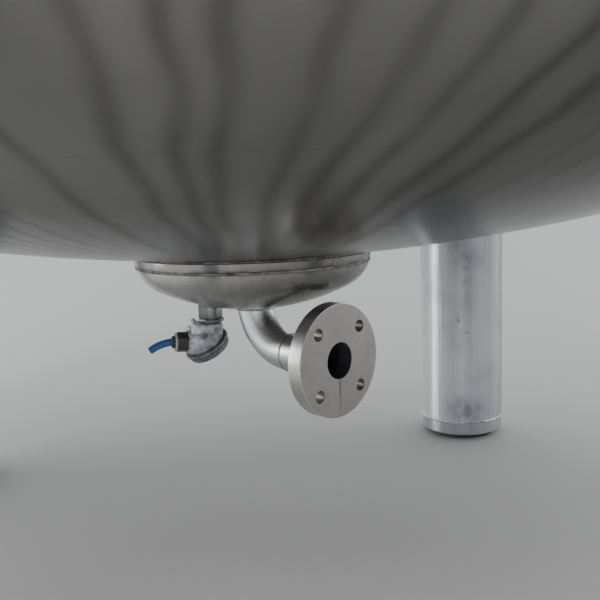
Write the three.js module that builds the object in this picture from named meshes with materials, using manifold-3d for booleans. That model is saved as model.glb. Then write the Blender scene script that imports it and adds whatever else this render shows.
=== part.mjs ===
import * as THREE from "three";
import { mergeVertices } from "three/addons/utils/BufferGeometryUtils.js";
import Module from "manifold-3d";

// A vertical stainless steel storage tank on four tube legs, in millimetres, +Z up.
// The origin is on the ground under the tank's axis, and the bottom outlet faces -Y.

const wasm = await Module();
wasm.setup();

// Driving dimensions
const tankDiameter = 1400;
const wall = 4;
const crownRadius = tankDiameter;
const knuckleRadius = 0.1 * tankDiameter;
const headSkirt = 30;
const headLowest = 317;
const courseHeight = 1000;
const seam = 0.3;

const legDiameter = 120;
const legWall = 3;
const legRing = 520;
const legAngle = 11;
const legPadRadius = 88;
const legPadThickness = 4;
const footGap = 7;
const footCapHeight = 20;
const footPadDiameter = 96;

const sumpDiameter = 219.1;
const sumpWall = 3;
const sumpBelowHead = 50;
const sumpCrown = 204;
const sumpKnuckle = 33.5;

const outletPipe = 33.7;
const outletWall = 1.6;
const outletBend = 45;
const outletLevel = 228.6;
const outletReach = 104.4;
const flangeDiameter = 100;
const flangeThickness = 14;
const flangeBore = 31.2;
const boltCircle = 75;
const boltHole = 11;

const probeOffset = 67;
const probeNeckDiameter = 24;
const probeNutHeight = 4;
const probeHeadTop = 246;
const probeBodyDiameter = 41;
const probeCollarDiameter = 31;
const probeCapDiameter = 47;
const probeCapHeight = 11;
const glandWidth = 18;
const glandStart = 18.3;
const glandHexEnd = 31.2;
const glandEnd = 33.8;
const cableDiameter = 7.5;

const manwayDiameter = 406.4;
const manwayWall = 3;
const manwayHeight = 90;
const manwayCollar = 14;
const manwayCollarHeight = 8;
const gasketHeight = 6;
const coverThickness = 5;
const earThickness = 8;
const swingBolt = 12;
const knobDiameter = 50;

const ventPipe = 60.3;
const ventWall = 2;
const ventBend = 76;
const ventRise = 130;
const ventDrop = 40;
const ventOffset = 400;
const ventAngle = 45;
const inletOffset = 400;
const inletAngle = 225;
const inletRise = 90;

const lugThickness = 12;
const lugWidth = 90;
const lugHeight = 95;
const lugEye = 36;
const lugOffset = 500;
const lugAngles = [0, 180];
const plateWidth = 150;
const plateHeight = 100;
const plateLevel = 1500;
const plateAngle = 30;
const bracketDepth = 30;
const bracketThickness = 3;

const upwards = new THREE.Vector3(0, 0, 1);
const wholeTurn = 2 * Math.PI;
const radians = (degrees) => (degrees * Math.PI) / 180;
const tankSides = 44;
const neckSides = 36;
const legSides = 32;
const pipeSides = 20;

// Levels worked out from the driving dimensions
const tankRadius = tankDiameter / 2;
const knuckleAngle = Math.asin((tankRadius - knuckleRadius) / (crownRadius - knuckleRadius));
const headDepth = crownRadius - (crownRadius - knuckleRadius) * Math.cos(knuckleAngle);
const shellBottom = headLowest + headDepth + headSkirt + seam;
const shellMiddle = shellBottom + courseHeight;
const shellTop = shellMiddle + seam + courseHeight;
const topHeadRim = shellTop + seam;
const crownTop = topHeadRim + headSkirt + headDepth;
const sumpBottom = headLowest - sumpBelowHead;

const steel = { metalness: 1, roughness: 0.32 };
const finishes = {
  head: new THREE.MeshStandardMaterial({ color: 0x7f7d79, ...steel }),
  shell: new THREE.MeshStandardMaterial({ color: 0x9b9b98, ...steel }),
  leg: new THREE.MeshStandardMaterial({ color: 0xa6a9b0, metalness: 1, roughness: 0.38 }),
  flange: new THREE.MeshStandardMaterial({ color: 0x8a8680, metalness: 1, roughness: 0.5 }),
  fitting: new THREE.MeshStandardMaterial({ color: 0x9c9c9a, metalness: 1, roughness: 0.3 }),
  casting: new THREE.MeshStandardMaterial({ color: 0x8d8f90, metalness: 1, roughness: 0.45 }),
  rubber: new THREE.MeshStandardMaterial({ color: 0x1c1c1d, metalness: 0, roughness: 0.7 }),
  plastic: new THREE.MeshStandardMaterial({ color: 0x15161a, metalness: 0, roughness: 0.4 }),
  cable: new THREE.MeshStandardMaterial({ color: 0x1f5f96, metalness: 0, roughness: 0.45 }),
};

const tank = new THREE.Group();

function piece(name, geometry, finish) {
  const mesh = new THREE.Mesh(geometry, finishes[finish].clone());
  mesh.name = name;
  tank.add(mesh);
  return mesh;
}

// A closed geometry as a solid that can be joined and cut.
function solidOf(geometry) {
  const bare = geometry.clone();
  bare.deleteAttribute("normal");
  bare.deleteAttribute("uv");
  const merged = mergeVertices(bare, 1e-4);
  return new wasm.Manifold(
    new wasm.Mesh({
      numProp: 3,
      vertProperties: merged.attributes.position.array,
      triVerts: new Uint32Array(merged.index.array),
    }),
  );
}

function geometryOf(solid) {
  const mesh = solid.getMesh();
  const geometry = new THREE.BufferGeometry();
  geometry.setAttribute("position", new THREE.BufferAttribute(mesh.vertProperties, 3));
  geometry.setIndex(new THREE.BufferAttribute(mesh.triVerts, 1));
  geometry.computeVertexNormals();
  return geometry;
}

// A profile of [radius, height] turned round the Z axis: up on the outside, down on the inside.
function turned(profile, sides = pipeSides) {
  const points = profile.map(([radius, height]) => new THREE.Vector2(radius, height));
  return new THREE.LatheGeometry(points, sides).rotateX(Math.PI / 2);
}

// A plain ring, or a disc where the inner radius is 0.
function ringOf(outer, inner, low, high, sides = pipeSides) {
  const profile = [
    [inner, low],
    [outer, low],
    [outer, high],
    [inner, high],
  ];
  if (inner > 0) profile.push([inner, low]);
  return turned(profile, sides);
}

function hexagonOf(acrossFlats, low, high) {
  return ringOf(acrossFlats / Math.sqrt(3), 0, low, high, 6);
}

// Turns a geometry made along +Z to another direction, then moves it to a place.
function aimed(geometry, direction, place) {
  const turn = new THREE.Quaternion().setFromUnitVectors(
    new THREE.Vector3(0, 0, 1),
    direction.clone().normalize(),
  );
  return geometry.applyQuaternion(turn).translate(place.x, place.y, place.z);
}

// Heights over its lowest point of a dished end's outer face, offset along its normal, as
// [radius, height] from a start radius out to the straight skirt.
const crownSteps = 5;
const knuckleSteps = 4;
function dish(radius, crown, knuckle, offset, startRadius, skirt) {
  const turnAngle = Math.asin((radius - knuckle) / (crown - knuckle));
  const startAngle = Math.asin(startRadius / (crown + offset));
  const points = [];
  for (let i = 0; i <= crownSteps; i += 1) {
    const angle = startAngle + ((turnAngle - startAngle) * i) / crownSteps;
    points.push([(crown + offset) * Math.sin(angle), crown - (crown + offset) * Math.cos(angle)]);
  }
  const rimHeight = crown - (crown - knuckle) * Math.cos(turnAngle);
  for (let i = 1; i <= knuckleSteps; i += 1) {
    const angle = turnAngle + ((Math.PI / 2 - turnAngle) * i) / knuckleSteps;
    points.push([
      radius - knuckle + (knuckle + offset) * Math.sin(angle),
      rimHeight - (knuckle + offset) * Math.cos(angle),
    ]);
  }
  if (skirt > 0) points.push([radius + offset, rimHeight + skirt]);
  return points;
}

function tankDish(offset, startRadius, skirt) {
  return dish(tankRadius, crownRadius, knuckleRadius, offset, startRadius, skirt);
}

function shellOfDish(outside, inside) {
  return [...outside, ...inside.reverse(), outside[0]];
}

// All that lies inside an outer face, as a solid to cut other pieces with.
function fillOfDish(outside, sides) {
  const first = outside[0];
  const last = outside[outside.length - 1];
  return solidOf(turned([[0, first[1]], ...outside, [0, last[1]]], sides));
}

const raised = (points, level) => points.map(([r, z]) => [r, z + level]);
const upsideDown = (points, level) => points.map(([r, z]) => [r, level - z]).reverse();
const heightOnCrown = (radius, crown) => crown - Math.sqrt(crown ** 2 - radius ** 2);

// Bottom head, open at the sump
const sumpBore = sumpDiameter / 2 - sumpWall;
const bottomProfile = shellOfDish(
  tankDish(0, sumpBore, headSkirt),
  tankDish(-wall, sumpBore, headSkirt),
);
piece("bottom_head", turned(raised(bottomProfile, headLowest), tankSides), "head");

// Shell of two courses
piece(
  "shell_lower",
  ringOf(tankRadius, tankRadius - wall, shellBottom, shellMiddle, tankSides),
  "shell",
);
piece(
  "shell_upper",
  ringOf(tankRadius, tankRadius - wall, shellMiddle + seam, shellTop, tankSides),
  "shell",
);

// Top head, open at the manway, with holes for the vent and the inlet
const ventPlace = new THREE.Vector3(0, ventOffset, 0).applyAxisAngle(upwards, radians(ventAngle));
const inletPlace = new THREE.Vector3(inletOffset, 0, 0).applyAxisAngle(upwards, radians(inletAngle));
const manwayBore = manwayDiameter / 2 - manwayWall;
const topProfile = shellOfDish(
  tankDish(0, manwayBore, headSkirt),
  tankDish(-wall, manwayBore, headSkirt),
);
let topHead = solidOf(turned(upsideDown(topProfile, crownTop), tankSides));
for (const [place, bore] of [
  [ventPlace, ventPipe / 2 - ventWall],
  [inletPlace, outletPipe / 2 - outletWall],
]) {
  const drill = ringOf(bore, 0, crownTop - 200, crownTop);
  topHead = topHead.subtract(solidOf(drill.translate(place.x, place.y, 0)));
}
piece("top_head", geometryOf(topHead), "shell");

// Sump under the bottom head, open at the outlet
const sumpRadius = sumpDiameter / 2;
const outletBore = outletPipe / 2 - outletWall;
const sumpRim = headLowest + heightOnCrown(sumpRadius, crownRadius) - seam;
function sumpFace(offset) {
  const face = dish(sumpRadius, sumpCrown, sumpKnuckle, offset, outletBore, 0);
  return [...raised(face, sumpBottom), [sumpRadius + offset, sumpRim + 0.1 * offset]];
}
piece("sump", turned(shellOfDish(sumpFace(0), sumpFace(-sumpWall)), neckSides), "fitting");

// Outlet bend, trimmed where it meets the sump, and its flange
class OutletPath extends THREE.Curve {
  getPoint(t, target = new THREE.Vector3()) {
    const bendLength = (outletBend * Math.PI) / 2;
    const straight = outletReach - flangeThickness - seam - outletBend;
    const along = t * (bendLength + straight);
    if (along < bendLength) {
      const angle = along / outletBend;
      const drop = outletBend * Math.sin(angle);
      return target.set(0, outletBend * (Math.cos(angle) - 1), outletLevel + outletBend - drop);
    }
    return target.set(0, -outletBend - (along - bendLength), outletLevel);
  }
}

function pipeShape(outer, inner) {
  const shape = new THREE.Shape().absarc(0, 0, outer, 0, wholeTurn);
  shape.holes.push(new THREE.Path().absarc(0, 0, inner, 0, wholeTurn, true));
  return shape;
}

function pipeAlong(path, outer, inner, steps) {
  return new THREE.ExtrudeGeometry(pipeShape(outer, inner), {
    extrudePath: path,
    steps,
    curveSegments: pipeSides / 2,
    bevelEnabled: false,
  });
}

const bendSteps = 14;
const outlet = solidOf(pipeAlong(new OutletPath(), outletPipe / 2, outletBore, bendSteps));
const belowSump = outlet.subtract(fillOfDish(sumpFace(seam), neckSides));
piece("outlet_bend", geometryOf(belowSump), "fitting");

// A flat flange whose face looks along +Z, with its rear face at z = 0.
function flangeOf() {
  const shape = pipeShape(flangeDiameter / 2, flangeBore / 2);
  for (let i = 0; i < 4; i += 1) {
    const angle = (i + 0.5) * (Math.PI / 2);
    const x = (boltCircle / 2) * Math.cos(angle);
    const y = (boltCircle / 2) * Math.sin(angle);
    shape.holes.push(new THREE.Path().absarc(x, y, boltHole / 2, 0, wholeTurn, true));
  }
  return new THREE.ExtrudeGeometry(shape, {
    depth: flangeThickness,
    curveSegments: 15,
    bevelEnabled: false,
  });
}

const flangeRear = new THREE.Vector3(0, flangeThickness - outletReach, outletLevel);
piece("outlet_flange", aimed(flangeOf(), new THREE.Vector3(0, -1, 0), flangeRear), "flange");

// Probe in the sump: round neck with a hexagon nut, cast head, screw cap, gland and cable
const neckTopLevel = sumpBottom + heightOnCrown(probeOffset - probeNeckDiameter / 2, sumpCrown);
const neckRound = ringOf(probeNeckDiameter / 2, 0, probeHeadTop, neckTopLevel);
const neckNut = hexagonOf(probeNeckDiameter, probeHeadTop, probeHeadTop + probeNutHeight);
const neckWhole = solidOf(neckRound.translate(0, probeOffset, 0)).add(
  solidOf(neckNut.translate(0, probeOffset, 0)),
);
const neckClear = fillOfDish(sumpFace(seam), neckSides);
piece("probe_neck", geometryOf(neckWhole.subtract(neckClear)), "fitting");

// The head hangs a little beside its neck. The cap looks down to one side, the gland sideways.
const capDirection = new THREE.Vector3(0.519, -0.063, -0.852).normalize();
const glandDirection = new THREE.Vector3(-0.886, 0.458, 0.079).normalize();
const headCentre = new THREE.Vector3(-4.6, probeOffset + 4.8, probeHeadTop - 20);
const bodyRadius = probeBodyDiameter / 2;
const bodyProfile = [
  [0, -17],
  [0.6 * bodyRadius, -17],
  [0.85 * bodyRadius, -12],
  [0.97 * bodyRadius, -5],
  [bodyRadius, 0],
  [0, 0],
];
const body = aimed(turned(bodyProfile, 24), capDirection, headCentre);
const collar = ringOf(probeCollarDiameter / 2, 0, probeHeadTop - 14, probeHeadTop - seam, 24);
collar.translate(-3, probeOffset + 3.1, 0);
const boss = aimed(ringOf(glandWidth / 2, 0, 8, glandStart), glandDirection, headCentre);
const clearOfCap = new THREE.BoxGeometry(80, 80, 40).translate(0, 0, 20);
const clearOfNeck = new THREE.BoxGeometry(80, 80, 40);
clearOfNeck.translate(0, probeOffset, probeHeadTop - seam + 20);
const glandSeat = ringOf(0.6 * glandWidth, 0, glandStart, glandStart + 20);
const head = solidOf(body)
  .add(solidOf(collar))
  .add(solidOf(boss))
  .subtract(solidOf(aimed(clearOfCap, capDirection, headCentre)))
  .subtract(solidOf(clearOfNeck))
  .subtract(solidOf(aimed(glandSeat, glandDirection, headCentre)));
piece("probe_head", geometryOf(head), "casting");
const capRadius = probeCapDiameter / 2;
const capProfile = [
  [0, seam],
  [capRadius - 1, seam],
  [capRadius, 1.5],
  [capRadius, 4],
  [capRadius - 2, probeCapHeight - 0.7],
  [capRadius - 3, probeCapHeight],
  [0, probeCapHeight + 1.5],
];
piece("probe_cap", aimed(turned(capProfile, 24), capDirection, headCentre), "casting");

const glandHex = solidOf(hexagonOf(glandWidth, glandStart + seam, glandHexEnd));
const glandNut = solidOf(ringOf(0.33 * glandWidth, 0, glandHexEnd - 1, glandEnd));
const gland = geometryOf(glandHex.add(glandNut));
piece("cable_gland", aimed(gland, glandDirection, headCentre), "plastic");

// Points of the cable after the gland, as distances along the gland's axis, to the front and up
const frontwards = new THREE.Vector3(-0.71, -0.69, 0.146);
const cableRoute = [
  [0.6, 0, -0.2],
  [4, 0.1, -0.7],
  [8, 0.3, -1.7],
  [12.6, 0.5, -3.4],
  [17.2, 0.8, -5.7],
  [21.6, 1.1, -8.5],
].map(([out, front, up]) =>
  headCentre
    .clone()
    .addScaledVector(glandDirection, glandEnd + seam + out)
    .addScaledVector(frontwards, front)
    .addScaledVector(upwards, up),
);
const cableShape = new THREE.Shape().absarc(0, 0, cableDiameter / 2, 0, wholeTurn);
const cable = new THREE.ExtrudeGeometry(cableShape, {
  extrudePath: new THREE.CatmullRomCurve3(cableRoute),
  steps: 12,
  curveSegments: 6,
  bevelEnabled: false,
});
piece("probe_cable", cable, "cable");

// Legs: a pad on the head, the tube, its end cap and the pad that stands on the ground
function headCutter(offset) {
  return fillOfDish(raised(tankDish(offset, sumpBore, headSkirt), headLowest), tankSides);
}

const padTop = headCutter(seam);
const padUnderside = headCutter(seam + legPadThickness);
const tubeTop = headCutter(2 * seam + legPadThickness);
const legTop = headLowest + heightOnCrown(legRing + legPadRadius, crownRadius) + 10;
const capTop = footGap + footCapHeight;
const capRim = legDiameter / 2 - 1.5;
const capEdge = 2;
const legCapProfile = [
  [0, footGap],
  [capRim - capEdge, footGap],
  [capRim, footGap + capEdge],
  [capRim, capTop],
  [0, capTop],
];
const tubeLow = capTop + seam;
for (let i = 0; i < 4; i += 1) {
  const angle = radians(legAngle + 90 * i);
  const x = legRing * Math.cos(angle);
  const y = legRing * Math.sin(angle);
  const number = i + 1;
  const blank = solidOf(ringOf(legPadRadius, 0, headLowest, legTop, legSides).translate(x, y, 0));
  const pad = blank.intersect(padUnderside).subtract(padTop);
  piece(`leg_pad_${number}`, geometryOf(pad), "leg");
  const tube = ringOf(legDiameter / 2, legDiameter / 2 - legWall, tubeLow, legTop, legSides);
  const cutTube = solidOf(tube.translate(x, y, 0)).subtract(tubeTop);
  piece(`leg_tube_${number}`, geometryOf(cutTube), "leg");
  piece(`leg_cap_${number}`, turned(legCapProfile, legSides).translate(x, y, 0), "leg");
  const foot = ringOf(footPadDiameter / 2, 0, 0, footGap - seam, legSides);
  piece(`foot_pad_${number}`, foot.translate(x, y, 0), "rubber");
}

// What lies under the top head's outer face, to cut what stands on it
const topFace = tankDish(seam, manwayBore, headSkirt);
const topFaceUp = upsideDown(topFace, crownTop);
const underTopHead = fillOfDish(topFaceUp, tankSides);

function standingOnTopHead(geometry) {
  return geometryOf(solidOf(geometry).subtract(underTopHead));
}

// Manway in the top head: neck, gasket and dished cover
const neckRadius = manwayDiameter / 2;
const neckLow = crownTop - 60;
const neckTop = crownTop + manwayHeight;
const collarRadius = neckRadius + manwayCollar;
const neckProfile = [
  [manwayBore, neckLow],
  [neckRadius, neckLow],
  [neckRadius, neckTop - manwayCollarHeight],
  [collarRadius, neckTop - manwayCollarHeight],
  [collarRadius, neckTop],
  [manwayBore, neckTop],
  [manwayBore, neckLow],
];
piece("manway_neck", standingOnTopHead(turned(neckProfile, neckSides)), "fitting");
const gasketTop = neckTop + seam + gasketHeight;
const gasket = ringOf(neckRadius + 10, neckRadius - 1, neckTop + seam, gasketTop, neckSides);
piece("manway_gasket", gasket, "rubber");

// The cover's flat rim, then its raised middle, as radii and heights over the gasket
const coverBase = gasketTop + seam;
const coverRadius = collarRadius + 2;
const coverFlat = neckRadius - 14;
const coverRise = [
  [150, 20],
  [90, 32],
  [0, 37],
];
const coverProfile = [
  [coverFlat, 0],
  [coverRadius, 0],
  [coverRadius, coverThickness],
  [coverFlat, coverThickness],
  ...coverRise.map(([r, z]) => [r, z + coverThickness]),
  ...[...coverRise].reverse(),
  [coverFlat, 0],
];

// Swing bolts stand in slotted ears of the cover, pinned to forks on the neck.
const boltRadius = coverRadius + 14;
const boltAngles = [0, 180, 270];
const slotWidth = swingBolt + 4;
const earTop = coverBase + earThickness;
const earMiddle = coverBase + earThickness / 2;
let cover = solidOf(turned(raised(coverProfile, coverBase), neckSides));
for (const degrees of boltAngles) {
  const ear = new THREE.BoxGeometry(36, 46, earThickness).translate(boltRadius - 4, 0, earMiddle);
  const slot = new THREE.BoxGeometry(40, slotWidth, 40).translate(boltRadius + 12, 0, coverBase);
  ear.rotateZ(radians(degrees));
  slot.rotateZ(radians(degrees));
  cover = cover.add(solidOf(ear).subtract(solidOf(slot)));
}
// On the hinge side a plain strap reaches the hinge pin.
const hingeRadius = coverRadius + 34;
const strapLength = 60;
const strap = new THREE.BoxGeometry(50, strapLength, earThickness);
strap.translate(0, hingeRadius - 7 - strapLength / 2, earMiddle);
cover = cover.add(solidOf(strap));
piece("manway_cover", geometryOf(cover), "fitting");

const neckBody = ringOf(neckRadius + seam, 0, neckLow, neckTop, neckSides);
const collarLow = neckTop - manwayCollarHeight - seam;
const collarBody = ringOf(collarRadius + seam, 0, collarLow, coverBase, neckSides);
const outsideNeck = solidOf(neckBody).add(solidOf(collarBody));

const forkHeight = 34;
const forkLow = neckTop - 44;
const forkMiddle = forkLow + forkHeight / 2;
const forkInner = neckRadius + seam;
const cheekOffset = swingBolt / 2 + 4;
const pinRadius = 4;
const knobLow = earTop + 2;
const knobTop = coverBase + 34;
boltAngles.forEach((degrees, i) => {
  const bridge = new THREE.BoxGeometry(6, 2 * swingBolt, forkHeight);
  const pin = ringOf(pinRadius, 0, -swingBolt, swingBolt, 12).rotateX(Math.PI / 2);
  let fork = solidOf(bridge.translate(forkInner + 3, 0, forkMiddle));
  fork = fork.add(solidOf(pin.translate(boltRadius, 0, forkLow + 8)));
  for (const side of [-1, 1]) {
    const cheek = new THREE.BoxGeometry(forkHeight, 6, forkHeight);
    cheek.translate(forkInner + forkHeight / 2, side * cheekOffset, forkMiddle);
    fork = fork.add(solidOf(cheek));
  }
  piece(`bolt_fork_${i + 1}`, geometryOf(fork).rotateZ(radians(degrees)), "fitting");
  const stud = ringOf(swingBolt / 2, 0, forkLow + 12 + seam, knobTop + 12, 12);
  const washer = ringOf(15, 0, earTop + seam, knobLow, 16);
  const knob = ringOf(knobDiameter / 2, 0, knobLow, knobTop, 12);
  const bolt = geometryOf(solidOf(stud).add(solidOf(washer)).add(solidOf(knob)));
  bolt.translate(boltRadius, 0, 0).rotateZ(radians(degrees));
  piece(`swing_bolt_${i + 1}`, bolt, "fitting");
});

// Hinge behind the cover
const hingePin = ringOf(6, 0, -34, 34, 12).rotateY(Math.PI / 2).translate(0, hingeRadius, earMiddle);
let hinge = solidOf(hingePin);
for (const side of [-1, 1]) {
  const cheek = new THREE.BoxGeometry(6, 58, 70);
  cheek.translate(side * 31, hingeRadius - 18, coverBase - 26);
  hinge = hinge.add(solidOf(cheek));
}
const coverClear = ringOf(coverRadius + 2, 0, coverBase - 1, coverBase + 20, neckSides);
hinge = hinge.subtract(outsideNeck).subtract(solidOf(coverClear));
piece("manway_hinge", geometryOf(hinge), "fitting");

// Vent: a swan neck that opens downwards
class VentPath extends THREE.Curve {
  getPoint(t, target = new THREE.Vector3()) {
    const base = crownTop - 80;
    const rise = ventRise + 80;
    const bend = Math.PI * ventBend;
    const along = t * (rise + bend + ventDrop);
    if (along < rise) return target.set(0, ventOffset, base + along);
    if (along < rise + bend) {
      const angle = (along - rise) / ventBend;
      const out = ventBend * (1 - Math.cos(angle));
      return target.set(0, ventOffset + out, base + rise + ventBend * Math.sin(angle));
    }
    return target.set(0, ventOffset + 2 * ventBend, base + rise - (along - rise - bend));
  }
}
const ventSteps = 14;
const vent = pipeAlong(new VentPath(), ventPipe / 2, ventPipe / 2 - ventWall, ventSteps);
piece("vent_pipe", standingOnTopHead(vent.rotateZ(radians(ventAngle))), "fitting");

// Inlet pipe and its flange
const inletTop = crownTop + inletRise;
const inlet = ringOf(outletPipe / 2, outletBore, crownTop - 100, inletTop);
piece("inlet_pipe", standingOnTopHead(inlet.translate(inletPlace.x, inletPlace.y, 0)), "fitting");
const inletFlangeRear = new THREE.Vector3(inletPlace.x, inletPlace.y, inletTop + seam);
piece("inlet_flange", aimed(flangeOf(), upwards, inletFlangeRear), "flange");

// Lifting lugs on the top head
lugAngles.forEach((degrees, i) => {
  const outline = new THREE.Shape();
  const half = lugWidth / 2;
  outline.moveTo(-half, -lugHeight);
  outline.lineTo(half, -lugHeight);
  outline.lineTo(half, 0);
  outline.absarc(0, 0, half, 0, Math.PI);
  outline.lineTo(-half, -lugHeight);
  outline.holes.push(new THREE.Path().absarc(0, 0, lugEye / 2, 0, wholeTurn, true));
  const lug = new THREE.ExtrudeGeometry(outline, {
    depth: lugThickness,
    curveSegments: 8,
    bevelEnabled: false,
  });
  lug.translate(0, 0, -lugThickness / 2).rotateX(Math.PI / 2);
  lug.translate(lugOffset, 0, crownTop - 25).rotateZ(radians(degrees));
  piece(`lifting_lug_${i + 1}`, standingOnTopHead(lug), "fitting");
});

// Bare plate on its bracket, on the front of the shell
const bracketFace = -(tankRadius + bracketDepth);
const armReach = bracketDepth + 12;
const backing = new THREE.BoxGeometry(plateWidth, bracketThickness, plateHeight);
let bracket = solidOf(backing.translate(0, bracketFace + bracketThickness / 2, plateLevel));
for (const side of [-1, 1]) {
  const arm = new THREE.BoxGeometry(bracketThickness + 1, armReach, 0.7 * plateHeight);
  arm.translate(side * (plateWidth / 2 - 20), bracketFace + 1 + armReach / 2, plateLevel);
  bracket = bracket.add(solidOf(arm));
}
const plateLow = plateLevel - plateHeight;
const shellBody = ringOf(tankRadius + seam, 0, plateLow, plateLevel + plateHeight, tankSides);
shellBody.rotateZ(radians(-plateAngle));
const cutBracket = geometryOf(bracket.subtract(solidOf(shellBody)));
piece("plate_bracket", cutBracket.rotateZ(radians(plateAngle)), "fitting");
const plateThickness = 1.5;
const plate = new THREE.BoxGeometry(plateWidth - 20, plateThickness, plateHeight - 20);
plate.translate(0, bracketFace - plateThickness / 2 - seam, plateLevel);
piece("name_plate", plate.rotateZ(radians(plateAngle)), "fitting");

export default tank;
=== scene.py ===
import math

import bpy
from mathutils import Matrix, Quaternion, Vector


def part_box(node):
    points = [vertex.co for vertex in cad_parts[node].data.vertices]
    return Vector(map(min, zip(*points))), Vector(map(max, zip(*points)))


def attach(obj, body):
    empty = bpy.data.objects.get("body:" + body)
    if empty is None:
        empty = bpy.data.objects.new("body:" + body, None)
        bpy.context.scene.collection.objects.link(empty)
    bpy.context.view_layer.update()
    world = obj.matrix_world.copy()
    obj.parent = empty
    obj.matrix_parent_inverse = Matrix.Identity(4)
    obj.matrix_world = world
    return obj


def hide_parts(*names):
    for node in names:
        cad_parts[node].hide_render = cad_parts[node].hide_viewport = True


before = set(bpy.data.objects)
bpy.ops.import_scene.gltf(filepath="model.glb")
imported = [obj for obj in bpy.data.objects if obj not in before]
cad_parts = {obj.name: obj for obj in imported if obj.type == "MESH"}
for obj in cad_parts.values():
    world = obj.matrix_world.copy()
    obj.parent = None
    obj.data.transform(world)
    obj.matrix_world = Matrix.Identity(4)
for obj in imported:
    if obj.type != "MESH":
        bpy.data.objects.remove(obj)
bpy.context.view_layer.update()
print("frame loaded,", len(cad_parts), "solids")


# small helpers for modelling

seamGap = 0.0003  # metres left between neighbouring solids


def deselectAll():
    if bpy.context.object and bpy.context.object.mode != "OBJECT":
        bpy.ops.object.mode_set(mode="OBJECT")
    bpy.ops.object.select_all(action="DESELECT")


def pick(*pieces):  # the first one becomes the active one
    deselectAll()
    for piece in pieces:
        piece.select_set(True)
    bpy.context.view_layer.objects.active = pieces[0]


def editAll(piece):  # edit mode, with everything selected
    pick(piece)
    bpy.ops.object.mode_set(mode="EDIT")
    bpy.ops.mesh.select_all(action="SELECT")


def nameAs(name):
    piece = bpy.context.object
    piece.name = name
    piece.data.name = name
    return piece


def applyPlace(piece):
    pick(piece)
    bpy.ops.object.transform_apply(location=True, rotation=True, scale=True)
    return piece


def useModifier(piece, kind, **settings):
    pick(piece)
    bpy.ops.object.modifier_add(type=kind)
    modifier = piece.modifiers[-1]
    for key, value in settings.items():
        setattr(modifier, key, value)
    bpy.ops.object.modifier_apply(modifier=modifier.name)


def smoothShade(piece, degrees):
    pick(piece)
    bpy.ops.object.shade_smooth_by_angle(angle=math.radians(degrees))


def cleanMesh(piece, sharpDegrees=35):
    editAll(piece)
    bpy.ops.mesh.remove_doubles(threshold=0.00002)
    bpy.ops.mesh.normals_make_consistent(inside=False)
    bpy.ops.object.mode_set(mode="OBJECT")
    smoothShade(piece, sharpDegrees)


def evenNormals(piece):  # keeps flat faces flat beside rounded edges
    smoothShade(piece, 40)
    useModifier(piece, "WEIGHTED_NORMAL", keep_sharp=True, weight=80)


def thicken(piece, thickness, **settings):  # towards the inside, with sharp rims
    useModifier(piece, "SOLIDIFY", thickness=thickness, offset=-1, **settings)
    smoothShade(piece, 35)


def roundEdges(piece, width, segments=2, **limit):  # only where faces meet sharply
    useModifier(piece, "BEVEL", width=width, segments=segments, limit_method="ANGLE", **limit)


def mergeShape(piece, other, operation="UNION"):
    useModifier(piece, "BOOLEAN", operation=operation, solver="EXACT", object=other)
    bpy.data.objects.remove(other)


def subtractShape(piece, cutter):
    mergeShape(piece, cutter, "DIFFERENCE")


def extrudeBy(x, y, z):
    bpy.ops.mesh.extrude_region_move(TRANSFORM_OT_translate={"value": (x, y, z)})


def aimPiece(piece, direction, place, roll=0.0):  # its own +Z comes to point along direction
    turn = Vector((0, 0, 1)).rotation_difference(Vector(direction).normalized())
    piece.rotation_mode = "QUATERNION"
    piece.rotation_quaternion = turn @ Quaternion((0, 0, 1), roll)
    piece.location = place
    return applyPlace(piece)


def turnAboutZ(piece, degrees, place=(0, 0, 0)):
    return aimPiece(piece, (0, 0, 1), place, math.radians(degrees))


def standAt(piece, spot):
    return turnAboutZ(piece, 0, (*spot, 0))


def copyAs(piece, name):
    twin = piece.copy()
    twin.data = piece.data.copy()
    twin.name = name
    twin.data.name = name
    bpy.context.scene.collection.objects.link(twin)
    return twin


def joinAs(name, *pieces):
    pick(*pieces)
    bpy.ops.object.join()
    return nameAs(name)


def turnedPiece(name, outline, steps, sharpDegrees=35, sweep=360):
    # one vertex is drawn along the outline of (radius, height), then spun round the Z axis
    deselectAll()
    bpy.ops.mesh.primitive_plane_add(size=0.01)
    piece = nameAs(name)
    bpy.ops.object.mode_set(mode="EDIT")
    bpy.ops.mesh.select_mode(type="VERT")
    bpy.ops.mesh.select_all(action="SELECT")
    bpy.ops.mesh.merge(type="CENTER")
    bpy.ops.transform.translate(value=(outline[0][0], 0, outline[0][1]))
    for here, there in zip(outline, outline[1:]):
        extrudeBy(there[0] - here[0], 0, there[1] - here[1])
    bpy.ops.mesh.select_all(action="SELECT")
    bpy.ops.mesh.spin(steps=steps, angle=math.radians(sweep), center=(0, 0, 0), axis=(0, 0, 1))
    cleanMesh(piece, sharpDegrees)
    return piece


def softBlock(name, size, place, edge, segments=2):
    deselectAll()
    bpy.ops.mesh.primitive_cube_add(size=1, location=place, scale=size)
    piece = applyPlace(nameAs(name))
    useModifier(piece, "BEVEL", width=edge, segments=segments)
    evenNormals(piece)
    return piece


def plainBar(name, sides, radius, depth, place=(0, 0, 0)):  # up along Z
    deselectAll()
    bpy.ops.mesh.primitive_cylinder_add(
        vertices=sides, radius=radius, depth=depth, location=place
    )
    return nameAs(name)


def softPrism(name, sides, radius, depth, place, edge):
    piece = applyPlace(plainBar(name, sides, radius, depth, place))
    roundEdges(piece, edge)
    evenNormals(piece)
    return piece


def startRing(name, vertices, radius, place):  # an open ring in edit mode, to be drawn out
    deselectAll()
    bpy.ops.mesh.primitive_circle_add(vertices=vertices, radius=radius, location=place)
    piece = applyPlace(nameAs(name))
    editAll(piece)
    return piece


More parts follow.
